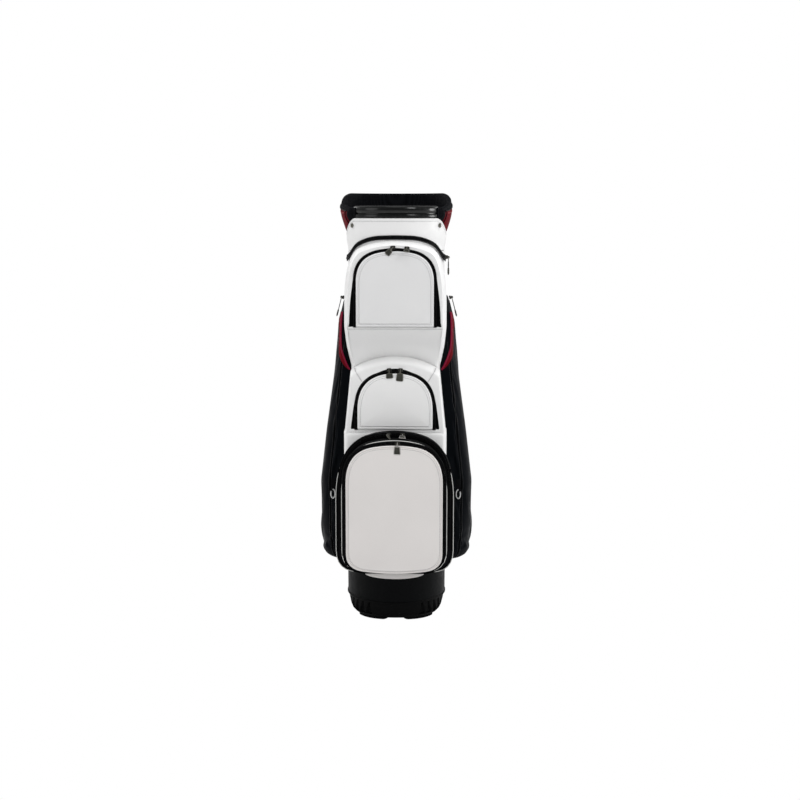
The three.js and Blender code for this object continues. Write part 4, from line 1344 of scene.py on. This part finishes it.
def build_side_pockets():
    points, faces = pocket_surface()
    fine, fine_faces = subdivided(points, faces)
    tree = BVHTree.FromPolygons([Vector(p) for p in fine], fine_faces)
    front_seam = pocket_line(tree, [(134, -0.92), (200, -0.86), (400, -0.86), (545, -0.92), (600, -0.90)], 150, 0.4)
    rear_seam = pocket_line(tree, [(136, 0.92), (300, 0.84), (545, 0.86), (650, 0.9)], 150, 0.4)
    piping = pocket_line(tree, PIPE_STOPS, 60, 1.6)
    patch = red_patch(tree)
    for word, sign in (("left", -1.0), ("right", 1.0)):
        mirror = np.array([sign, 1.0, 1.0])
        form = Form().add(fine * mirror, fine_faces)
        for path, facing in (front_seam, rear_seam):
            form.sweep(path * mirror, facing * mirror, oval(1.5, 1.1, 8), mark=1)
            for offset in (-3.4, 3.4):
                across = frames(path, facing)[1]
                form.scatter((path + across * offset) * mirror, facing * mirror, 4.4, STITCH, 2, lift=-0.1)
        form.build(f"side_pocket_{word}_cloth", "bag", "black_nylon", [NYLON, GUSSET, BLACK_THREAD],
                   [f"side_pocket_{word}"], sharp=70)
        trim = Form().add(patch[0] * mirror, patch[1])
        trim.sweep(piping[0] * mirror, piping[1] * mirror, oval(1.9, 1.9, 10), mark=1)
        trim.build(f"side_red_panel_{word}", "bag", "red_pu", [RED, RED_PIPE])
        side_zip(word, mirror, tree)


def red_patch(tree):
    """The red shoulder panel, laid over the pocket from the piping round to its outer side."""
    rows = 34
    sheet_points, faces = [], []
    columns = 18
    heights = np.linspace(547, 662, rows)
    stops = np.array(PIPE_STOPS)
    order = np.argsort(stops[:, 0])
    for z in heights:
        start = np.interp(z, stops[order, 0], stops[order, 1])
        stop = start + np.interp(z, RED_HEIGHTS, RED_WIDTHS)
        for turn_at in np.linspace(start, stop, columns):
            sheet_points.append(section_point(z, turn_at))
    path, facing = drape(tree, [p for p, _ in sheet_points], [n for _, n in sheet_points], 0.0)
    top = path + facing * 1.5
    bottom = path - facing * 1.0
    both = np.vstack([top, bottom])
    n = len(top)
    for r in range(rows - 1):
        for c in range(columns - 1):
            a = r * columns + c
            faces.append((a, a + 1, a + columns + 1, a + columns))
            faces.append((a + n, a + columns + n, a + columns + 1 + n, a + 1 + n))
    rim = [c for c in range(columns)] + [r * columns + columns - 1 for r in range(1, rows)]
    rim += [(rows - 1) * columns + c for c in range(columns - 2, -1, -1)] + [r * columns for r in range(rows - 2, 0, -1)]
    for i, a in enumerate(rim):
        b = rim[(i + 1) % len(rim)]
        faces.append((a, a + n, b + n, b))
    return both, faces


def side_zip(word, mirror, tree):
    """A long zip down the side of the pocket from its slider."""
    start = middle("side_right_slider")
    zs = np.linspace(start[2] - 2, 300, 110)
    aims = np.tile(np.array([1.0, 0.0, 0.2]), (len(zs), 1))
    path, facing = drape(tree, [np.array([140.0, start[1] + 0.05 * (start[2] - z), z]) for z in zs], unit(aims), -0.7)
    path, facing = soften(path, 3), soften(facing, 6)
    tape = Form()
    tape.sweep(path * mirror, facing * mirror, band_profile(15, 1.1, 0.5))
    for side in (-1, 1):
        across = frames(path, facing)[1]
        coil = path + across * (side * 1.4)
        tape.scatter(coil * mirror, facing * mirror, 2.2, peg(1.4, 2.6, 1.0, 0.6), 1, lift=0.9)
        edge = path + across * (side * 5.4)
        tape.scatter(edge * mirror, facing * mirror, 4.0, STITCH, 2, lift=1.1)
    tape.build(f"side_zip_{word}", "bag", "black_nylon", [TAPE, COIL, BLACK_THREAD])


# ---------------------------------------------------------------- sliders and pulls

def rounded_loop(half_x, y0, y1, corner, count=6):
    """A rounded rectangle in the pull's own plane, as (x, y) points."""
    points = []
    for cx, cy, start in ((half_x - corner, y0 - corner, 0), (-half_x + corner, y0 - corner, 90),
                          (-half_x + corner, y1 + corner, 180), (half_x - corner, y1 + corner, 270)):
        for k in range(count):
            a = math.radians(start + 90 * k / (count - 1))
            points.append((cx + corner * math.cos(a), cy + corner * math.sin(a)))
    return np.array(points)


class Place:
    """A local frame: x across, y up, z out of the zip."""

    def __init__(self, origin, x, z):
        self.origin, self.x, self.z = np.array(origin, float), unit(np.array(x, float)), unit(np.array(z, float))
        self.y = np.cross(self.z, self.x)

    def at(self, points):
        points = np.asarray(points, float).reshape(-1, 3)
        return self.origin + points[:, :1] * self.x + points[:, 1:2] * self.y + points[:, 2:] * self.z


def zip_place(name):
    """The pull's pin, its axis and the zip's outward side, from the joints."""
    flip, run = JOINTS[f"{name}_flip"], JOINTS[f"{name}_run"]
    pin = np.array(flip["pos_m"]) / MM
    x = -np.array(flip["axis"])
    if run["type"] == "hinge":
        centre = np.array(run["pos_m"]) / MM
        radial = unit((pin - centre) * [1, 0, 1])
        return pin, x, FRONT, np.cross(radial, FRONT)
    if name == "hood_zip":
        return pin, x, np.cross(x, UP), x
    return pin, x, np.cross(x, -np.array(run["axis"])), x


PIN_HEIGHT = 6.6


def build_slider(name):
    pin, x, out, across = zip_place(name)
    place = Place(pin - out * PIN_HEIGHT, across, out)
    form = Form()
    turns = np.linspace(0, 2 * math.pi, 36, endpoint=False)
    rings = []
    for z, s in ((0.8, 0.9), (1.1, 1.0), (1.9, 1.0), (2.1, 0.93), (2.7, 0.93), (2.9, 1.0), (4.0, 0.98), (4.6, 0.82)):
        c, q = np.cos(turns), np.sin(turns)
        px = 5.2 * s * np.sign(c) * np.abs(c) ** 0.55
        py = 4.0 * s * np.sign(q) * np.abs(q) ** 0.55 * (1 + 0.12 * np.sign(c) * np.abs(c))
        rings.append(place.at(np.column_stack([px, py, np.full(36, z)])))
    form.rings(rings)
    lug = Place(pin - out * PIN_HEIGHT, x, out)
    angle = np.linspace(0, math.pi, 16)
    bridge = np.column_stack([4.0 * np.cos(angle), np.zeros(16), 4.0 + 4.0 * np.sin(angle) ** 0.7])
    path = lug.at(bridge)
    form.sweep(path, np.broadcast_to(lug.y, path.shape), oval(0.75, 1.5, 10))
    form.build(f"{name}_slider_body", f"{name}_slider", "gunmetal", [DARK_METAL], [f"{name}_slider"])


def eye(form, place):
    """The ring that hangs on the slider's bridge, and the neck below it."""
    turns = np.linspace(0, 2 * math.pi, 20, endpoint=False)
    ring = place.at(np.column_stack([np.zeros(20), 2.3 * np.cos(turns) - 0.4, 2.3 * np.sin(turns)]))
    form.sweep(ring, np.broadcast_to(place.x, ring.shape), oval(0.7, 0.9, 8), closed=True)
    neck = place.at([(0, -2.6, 0), (0, -4.4, 0), (0, -6.2, 0), (0, -7.6, 0)])
    form.sweep(neck, place.z, oval(1.5, 0.9, 10))


def metal_pull(form, place, length, width):
    """A plated frame round a ribbed rubber grip."""
    eye(form, place)
    loop = rounded_loop(width / 2 - 0.8, -6.6, -length + 0.8, 2.2)
    loop[:, 0] *= np.interp(loop[:, 1], (-length, -6.6), (1.0, 0.80))
    ring = place.at(np.column_stack([loop, np.zeros(len(loop))]))
    form.sweep(ring, place.z, oval(0.95, 0.95, 10), closed=True)
    grip = rounded_loop(width / 2 - 1.5, -7.6, -length + 1.8, 1.3)
    grip[:, 0] *= np.interp(grip[:, 1], (-length, -6.6), (1.0, 0.80))
    middle_xy = grip.mean(0)
    rings = [place.at(np.column_stack([middle_xy + (grip - middle_xy) * s, np.full(len(grip), z)]))
             for z, s in ((-0.9, 0.8), (-0.7, 1.0), (0.7, 1.0), (0.9, 0.8))]
    form.rings(rings, 1)
    for k in range(3):
        y = -length + 4.0 + 2.4 * k
        bar = place.at([(-width / 2 + 2.2, y, 1.0), (0, y, 1.1), (width / 2 - 2.2, y, 1.0)])
        form.sweep(bar, place.z, oval(0.5, 0.5, 8), mark=1)


def cord_pull(form, place, length, width):
    """A looped cord with a moulded grip at its end."""
    eye(form, place)
    side = width / 2 - 2.0
    grip_y = -length + 15
    points = [(-0.6, -8.0), (-side * 0.9, -12.0), (-side, (grip_y - 12) / 2 - 4), (-side * 0.7, grip_y)]
    for sign in (-1, 1):
        strand = soften(resample(place.at([(sign * p, q, 0.1 * sign) for p, q in points]), 1.5), 6)
        form.sweep(strand, place.z, oval(0.85, 0.85, 8), mark=2)
    turns = np.linspace(0, 2 * math.pi, 24, endpoint=False)
    rings = []
    for t in np.linspace(0, 1, 12):
        y = mix(grip_y + 1.5, -length, t)
        swell = math.sqrt(max(0.02, 1 - (2 * t - 1) ** 4)) * (1 - 0.08 * math.cos(t * 22))
        rings.append(place.at(np.column_stack([width / 2 * swell * np.cos(turns), np.full(24, y),
                                               1.7 * swell * np.sin(turns)])))
    form.rings(rings, 1)


def build_pull(name, kind):
    pin, x, out, _ = zip_place(name)
    low, high = span(f"{name}_pull")
    tip = max((np.array([a, b, c]) for a in (low[0], high[0]) for b in (low[1], high[1]) for c in (low[2], high[2])),
              key=lambda p: abs((p - pin) @ np.cross(x, out)) + max(0.0, (p - pin) @ out))
    place = Place(pin, x, out)
    length, width, swing = kind["length"], kind["width"], math.radians(kind.get("swing", 0))
    if swing:
        z = place.y * math.sin(swing) + place.z * math.cos(swing)
        place = Place(pin, x, z)
    form = Form()
    (cord_pull if kind.get("cord") else metal_pull)(form, place, length, width)
    form.build(f"{name}_pull_tab", f"{name}_pull", "gunmetal", [kind.get("frame", GUNMETAL), GREY_RUBBER, BLACK_THREAD],
               [f"{name}_pull"])


PULLS = {
    "upper_left": {"length": 19, "width": 12},
    "upper_right": {"length": 20, "width": 12.5, "swing": 70},
    "mid_left": {"length": 17, "width": 15.5},
    "mid_right": {"length": 23, "width": 15.5},
    "ball_outer_left": {"length": 32, "width": 11.5, "swing": 92},
    "ball_outer_right": {"length": 32, "width": 14, "swing": 90, "frame": SILVER},
    "ball_inner": {"length": 24, "width": 15, "frame": SILVER},
    "side_left": {"length": 44, "width": 8, "cord": True},
    "side_right": {"length": 44, "width": 8, "cord": True},
    "hood_zip": {"length": 38, "width": 8, "cord": True},
}


# ---------------------------------------------------------------- hooks, strap and handle

def build_side_hooks():
    for word, sign in (("left", -1), ("right", 1)):
        node = f"hook_{word}"
        centre = middle(node)
        low, high = span(node)
        turns = np.linspace(math.radians(80), math.radians(395), 30)
        path = np.column_stack([centre[0] + 4.6 * np.cos(turns) * sign, np.full(30, centre[1]),
                                centre[2] - 2 + 9.6 * np.sin(turns)])
        form = Form().sweep(path, FRONT, oval(1.5, 1.5, 10))
        form.build(f"{node}_wire", node, "metal", [BRIGHT], [node])
        tab = Form()
        strip = np.array([(centre[0], centre[1] + 1.8, z) for z in np.linspace(high[2] - 4, high[2] + 16, 10)])
        tab.sweep(strip, FRONT, band_profile(9, 1.4))
        loop = np.array([(centre[0] + x, centre[1] + 1.0, high[2] - 2.5) for x in (-4.5, -2, 0, 2, 4.5)])
        tab.sweep(loop, FRONT, oval(2.2, 2.0, 10))
        tab.build(f"{node}_tab", "bag", "black_nylon", [WEBBING])


def strap_line(count, t0=0.0, t1=1.0):
    upper, lower = middle("strap_ring_upper"), middle("strap_ring_lower")
    low, high = span("strap_web")
    t = np.linspace(t0, t1, count)
    pivot_y = JOINTS["strap_swing"]["pos_m"][1] / MM
    bow = 42.0 * (1 - (2 * t - 1) ** 4)
    z = mix(upper[2] - 24, lower[2] + 24, t)
    return np.column_stack([np.full(count, upper[0]), pivot_y + 4 + bow, z])


def strap_outward(path):
    along = unit(np.gradient(path, axis=0))
    return np.column_stack([np.zeros(len(path)), -along[:, 2], along[:, 1]])


def build_strap():
    path = strap_line(90)
    out = strap_outward(path)
    web = Form()
    web.sweep(path - out * 1.5, out, band_profile(36, 3.0, 1.1))
    for t0, t1 in ((0.015, 0.06), (0.94, 0.985)):
        box_stitch(web, strap_line(30, t0, t1), 26)
    web.build("strap_webbing", "strap", "black_nylon", [WEBBING, GREY_THREAD], ["strap_web"])
    build_pad()
    build_buckle()
    for word, direction in (("upper", -1), ("lower", 1)):
        build_ring(f"strap_ring_{word}")
        build_snap_hook(f"strap_hook_{word}", direction)
        build_tab(f"ring_tab_{word}")


def box_stitch(form, path, width):
    """A sewn box with a cross, on the outer face of webbing."""
    out = strap_outward(path)
    across = frames(path, out)[1]
    left, right = path + across * width / 2, path - across * width / 2
    lines = [left, right, np.linspace(left[0], right[0], 12), np.linspace(left[-1], right[-1], 12),
             np.linspace(left[0], right[-1], 20), np.linspace(right[0], left[-1], 20)]
    for line in lines:
        form.scatter(line, np.array([0.0, 1.0, 0.0]), 3.0, STITCH, 1, lift=1.7)


def build_pad():
    """The shoulder pad: crowned mesh face, bound edge and three sewn channels."""
    count = 120
    path = strap_line(count, 0.14, 0.72)
    out = strap_outward(path)
    _, across, out = frames(path, out)
    v = np.linspace(0, 1, count)
    end = np.sqrt(np.clip(1 - (np.abs(2 * v - 1) ** 10), 0, 1))
    half = 27 * mix(0.72, 1.0, np.minimum(1, end)) * mix(1.0, 0.94, np.sin(math.pi * v) ** 2)
    channels = np.ones(count)
    for seam in (0.25, 0.5, 0.75):
        channels -= 0.42 * np.exp(-((v - seam) / 0.011) ** 2)
    profiles = []
    for h, e, c in zip(half, end, channels):
        rows = []
        for u in np.linspace(-1, 1, 17):
            rows.append((u * h, 2.2 + (1.6 + 7.2 * (1 - abs(u) ** 3.4) * c) * max(e, 0.15)))
        rows += [(h * 0.98, 2.0), (h * 0.5, 1.9), (-h * 0.5, 1.9), (-h * 0.98, 2.0)]
        profiles.append(rows)
    pad = Form()
    pad.sweep(path, out, np.array(profiles))
    for sign in (-1, 1):
        edge = path + across * (sign * half * 0.99)[:, None] + out * 3.0
        pad.sweep(edge, out, oval(1.5, 1.9, 10), mark=1)
        line = path + across * (sign * (half - 5))[:, None] + out * 6.6
        pad.scatter(line, out, 4.0, STITCH, 2)
    pad.build("shoulder_pad", "strap", "black_pu", [MESH, BLACK, RED_THREAD], ["strap_pad"])


def build_buckle():
    """A ladder buckle with three bars."""
    low, high = span("strap_buckle")
    path = strap_line(16, 0.77, 0.83)
    out = strap_outward(path)
    _, across, out = frames(path, out)
    form = Form()
    for sign in (-1, 1):
        form.sweep(path + across * (sign * 20.5) + out * 4.0, out, oval(1.8, 2.0, 12))
    for index in (0, 7, 15):
        bar = np.linspace(path[index] + across[index] * 20.5, path[index] - across[index] * 20.5, 12) + out[index] * 4.0
        form.sweep(bar, out[index], oval(1.7, 1.7, 12))
    form.build("strap_ladder_buckle", "strap", "gunmetal", [GUNMETAL], ["strap_buckle"])


def build_ring(node):
    centre = middle(node)
    turns = np.linspace(0, 2 * math.pi, 48, endpoint=False)
    path = centre + np.column_stack([11 * np.cos(turns), 11 * np.sin(turns), np.zeros(48)])
    Form().sweep(path, UP, oval(2.1, 2.1, 14), closed=True).build(f"{node}_wire", node, "metal", [BRIGHT], [node])


def build_snap_hook(node, direction):
    """A swivel snap hook: open loop with a gate, swivel eye and webbing bar."""
    ring = middle("strap_ring_upper" if direction < 0 else "strap_ring_lower")
    pivot_y = JOINTS["strap_swing"]["pos_m"][1] / MM
    centre = np.array([ring[0], pivot_y, ring[2]])
    turns = np.linspace(0, 2 * math.pi, 40, endpoint=False)
    loop = centre + np.column_stack([np.zeros(40), 9.5 * np.cos(turns), 9.5 * np.sin(turns)])
    form = Form().sweep(loop, np.array([1.0, 0, 0]), oval(2.1, 2.1, 12), closed=True)
    gate = centre + np.array([(0, 9.9, -5.5), (0, 11.2, 0), (0, 9.9, 5.5)])
    form.sweep(gate, np.array([1.0, 0, 0]), oval(1.5, 1.2, 10))
    shank = []
    for k, r in ((9.5, 2.6), (11, 3.3), (12.2, 3.5), (13, 2.3), (14.2, 2.3), (15, 3.6), (18.5, 3.6), (20, 2.8)):
        t = np.linspace(0, 2 * math.pi, 20, endpoint=False)
        shank.append(centre + np.column_stack([r * np.cos(t), r * np.sin(t), np.full(20, direction * k)]))
    form.rings(shank)
    end = centre + UP * direction * 21.5
    bar = np.linspace(end - [19, 0, 0], end + [19, 0, 0], 14)
    form.sweep(bar, UP, oval(1.8, 1.8, 12))
    form.build(f"{node}_body", "strap", "metal", [BRIGHT], [node])


def build_tab(node):
    """The sewn tab that holds a strap ring: a folded webbing loop on a stitched patch."""
    low, high = span(node)
    centre = (low + high) / 2
    form = Form()
    y_wall = low[1]
    turns = np.linspace(-0.5 * math.pi, 0.5 * math.pi, 12)
    fold = np.column_stack([np.full(12, centre[0]), 119.6 + 6.4 * np.cos(turns), centre[2] + 6.4 * np.sin(turns)])
    tail_up = np.array([(centre[0], y_wall + 3.2, centre[2] + 24), (centre[0], y_wall + 3.0, centre[2] + 14)])
    tail_down = tail_up * [1, 1, -1] + [0, 0, 2 * centre[2]]
    path = soften(resample(np.vstack([tail_down, fold, tail_up[::-1]]), 2.0), 3)
    form.sweep(path, np.array([1.0, 0, 0]), [(-1.1, -6), (1.1, -6), (1.1, 6), (-1.1, 6)])
    patch = np.array([(centre[0], y_wall + 1.2, z) for z in np.linspace(centre[2] - 28, centre[2] + 28, 12)])
    form.sweep(patch, np.array([0.0, 1.0, 0]), band_profile(26, 2.0))
    for x in (-10, 10):
        line = patch + [x, 2.0, 0]
        form.scatter(line, np.array([0.0, 1.0, 0.0]), 3.4, STITCH, 1)
    form.build(f"{node}_sewn", "bag", "black_pu", [BLACK, GREY_THREAD], [node])


def build_handle():
    pivot = np.array(JOINTS["carry_handle_swing"]["pos_m"]) / MM
    low, high = span("handle_patch")
    patch_mid = (low + high) / 2
    degree = math.degrees(math.atan2(pivot[0] / TUBE_A, -pivot[1] / TUBE_B)) % 360
    root = around(TUBE_A + 4.5, TUBE_B + 4.5, degree, 0.0)
    out = outward(root[None, :])[0]
    z0, z1 = low[2] + 16, high[2] - 16
    patch = Form()
    turn(patch, np.linspace(degree - 11, degree + 11, 16), lambda d: skin_profile(7.0, low[2], high[2], 0.3))
    for z in (low[2] + 8, low[2] + 22, high[2] - 22, high[2] - 8):
        line = around(TUBE_A + 7.1, TUBE_B + 7.1, np.linspace(degree - 9.5, degree + 9.5, 12), np.full(12, float(z)))
        patch.scatter(line, outward(line), 3.4, STITCH, 1, lift=0.2)
    patch.build("handle_anchor", "bag", "black_pu", [BLACK, RED_THREAD], ["handle_patch"])
    turns = np.linspace(0.02, math.pi - 0.02, 60)
    reach = 30.0
    half = (z1 - z0) / 2 - 4
    height = (z0 + z1) / 2 - half * np.cos(turns)
    stand = 7 + reach * np.sin(turns) ** 0.7
    path = root + stand[:, None] * out + height[:, None] * UP
    side = unit(np.cross(UP, out))
    grip = Form()
    _, across, normal = frames(path, np.broadcast_to(side, path.shape))
    widths = mix(7.0, 13.5, np.sin(turns) ** 0.8)
    thick = mix(2.4, 4.6, np.sin(turns))
    profiles = np.array([oval(t, w, 16) for t, w in zip(thick, widths)])
    grip.sweep(path, np.broadcast_to(side, path.shape), profiles)
    for sign in (-1, 1):
        line = path + side * (sign * (widths * 0.62))[:, None] - across * (thick * 0.8)[:, None]
        grip.scatter(line, -across, 3.6, STITCH, 1)
        line = path + side * (sign * (widths * 0.62))[:, None] + across * (thick * 0.8)[:, None]
        grip.scatter(line, across, 3.6, STITCH, 1)
    grip.build("carry_grip", "carry_handle", "black_pu", [BLACK, RED_THREAD], ["carry_handle"])


# ---------------------------------------------------------------- studio

def build_studio():
    floor_finish = Finish("pale_floor", (0.50, 0.50, 0.50), 0.9, specular=0.0)
    bpy.ops.mesh.primitive_plane_add(size=30)
    floor = bpy.context.active_object
    floor.name = "floor"
    floor.data.materials.append(floor_finish.material)
    floor.visible_camera = False
    for name, place, size, power, aim in (
            ("key", (1.7, -1.9, 2.3), 1.0, 12, (0, 0, 0.5)), ("fill", (-2.4, -1.2, 1.5), 1.6, 5, (0, 0, 0.45)),
            ("rim_left", (-1.9, 1.6, 1.6), 1.2, 9, (0, 0, 0.5)), ("rim_right", (2.0, 1.5, 1.4), 1.2, 9, (0, 0, 0.5)),
            ("side", (2.3, 0.25, 1.05), 0.7, 7, (0, 0, 0.7)), ("top", (0.0, -0.9, 3.0), 1.6, 5, (0, 0, 0.4)),
            ("low", (0.3, -2.4, 0.30), 1.2, 3, (0, 0, 0.42))):
        data = bpy.data.lights.new(name, "AREA")
        data.shape = "DISK"
        data.size = size
        data.energy = power
        lamp = bpy.data.objects.new(name, data)
        lamp.location = place
        lamp.rotation_mode = "QUATERNION"
        lamp.rotation_quaternion = (Vector(place) - Vector(aim)).to_track_quat("Z", "Y")
        lamp.visible_glossy = name != "low"
        bpy.context.scene.collection.objects.link(lamp)


def build_world():
    """Even white light, a little weaker from the camera's side, and a plain white backdrop."""
    world = bpy.data.worlds.new("studio")
    bpy.context.scene.world = world
    world.use_nodes = True
    nodes, links = world.node_tree.nodes, world.node_tree.links
    background, output = nodes["Background"], nodes["World Output"]
    position = nodes.new("ShaderNodeTexCoord")
    split = nodes.new("ShaderNodeSeparateXYZ")
    links.new(position.outputs["Generated"], split.inputs[0])
    level = nodes.new("ShaderNodeMapRange")
    for key, value in zip(("From Min", "From Max", "To Min", "To Max"), (-1.0, 0.3, 0.53, 1.27)):
        level.inputs[key].default_value = value
    links.new(split.outputs["Y"], level.inputs["Value"])
    rays = nodes.new("ShaderNodeLightPath")
    mirrored = nodes.new("ShaderNodeMapRange")
    mirrored.inputs["To Min"].default_value = 1.0
    mirrored.inputs["To Max"].default_value = 0.22
    links.new(rays.outputs["Is Glossy Ray"], mirrored.inputs["Value"])
    strength = nodes.new("ShaderNodeMath")
    strength.operation = "MULTIPLY"
    links.new(level.outputs["Result"], strength.inputs[0])
    links.new(mirrored.outputs["Result"], strength.inputs[1])
    above = nodes.new("ShaderNodeMapRange")
    for key, value in zip(("From Min", "From Max", "To Min", "To Max"), (-1.0, 1.0, 0.75, 1.25)):
        above.inputs[key].default_value = value
    links.new(split.outputs["Z"], above.inputs["Value"])
    total = nodes.new("ShaderNodeMath")
    total.operation = "MULTIPLY"
    links.new(strength.outputs[0], total.inputs[0])
    links.new(above.outputs["Result"], total.inputs[1])
    links.new(total.outputs[0], background.inputs["Strength"])
    backdrop = nodes.new("ShaderNodeBackground")
    backdrop.inputs["Strength"].default_value = 1.0
    choose = nodes.new("ShaderNodeMixShader")
    background.inputs["Color"].default_value = (1, 1, 1, 1)
    backdrop.inputs["Color"].default_value = (1, 1, 1, 1)
    links.new(rays.outputs["Is Camera Ray"], choose.inputs[0])
    links.new(background.outputs[0], choose.inputs[1])
    links.new(backdrop.outputs[0], choose.inputs[2])
    links.new(choose.outputs[0], output.inputs["Surface"])


def build_camera():
    data = bpy.data.cameras.new("camera")
    camera = bpy.data.objects.new("camera", data)
    bpy.context.scene.collection.objects.link(camera)
    azimuth, distance = math.radians(1.2), 2.9
    camera.location = (distance * math.sin(azimuth), -distance * math.cos(azimuth), 0.88)
    camera.rotation_mode = "QUATERNION"
    camera.rotation_quaternion = (camera.location - Vector((0, 0, 0.455))).to_track_quat("Z", "Y")
    data.sensor_width = 36.0
    data.lens = 60.08
    data.shift_x, data.shift_y = 0.0044, 0.0078
    bpy.context.scene.camera = camera
    bpy.context.scene.view_settings.view_transform = "Standard"


build_core()
build_skins()
build_base()
build_collar()
build_cuff()
build_hood()
build_dividers()
build_hood_band()
build_upper_pocket()
build_mid_pocket()
build_ball_pocket()
build_side_pockets()
for zip_name, pull_kind in PULLS.items():
    build_slider(zip_name)
    build_pull(zip_name, pull_kind)
build_side_hooks()
build_strap()
build_handle()
build_studio()
build_world()
build_camera()
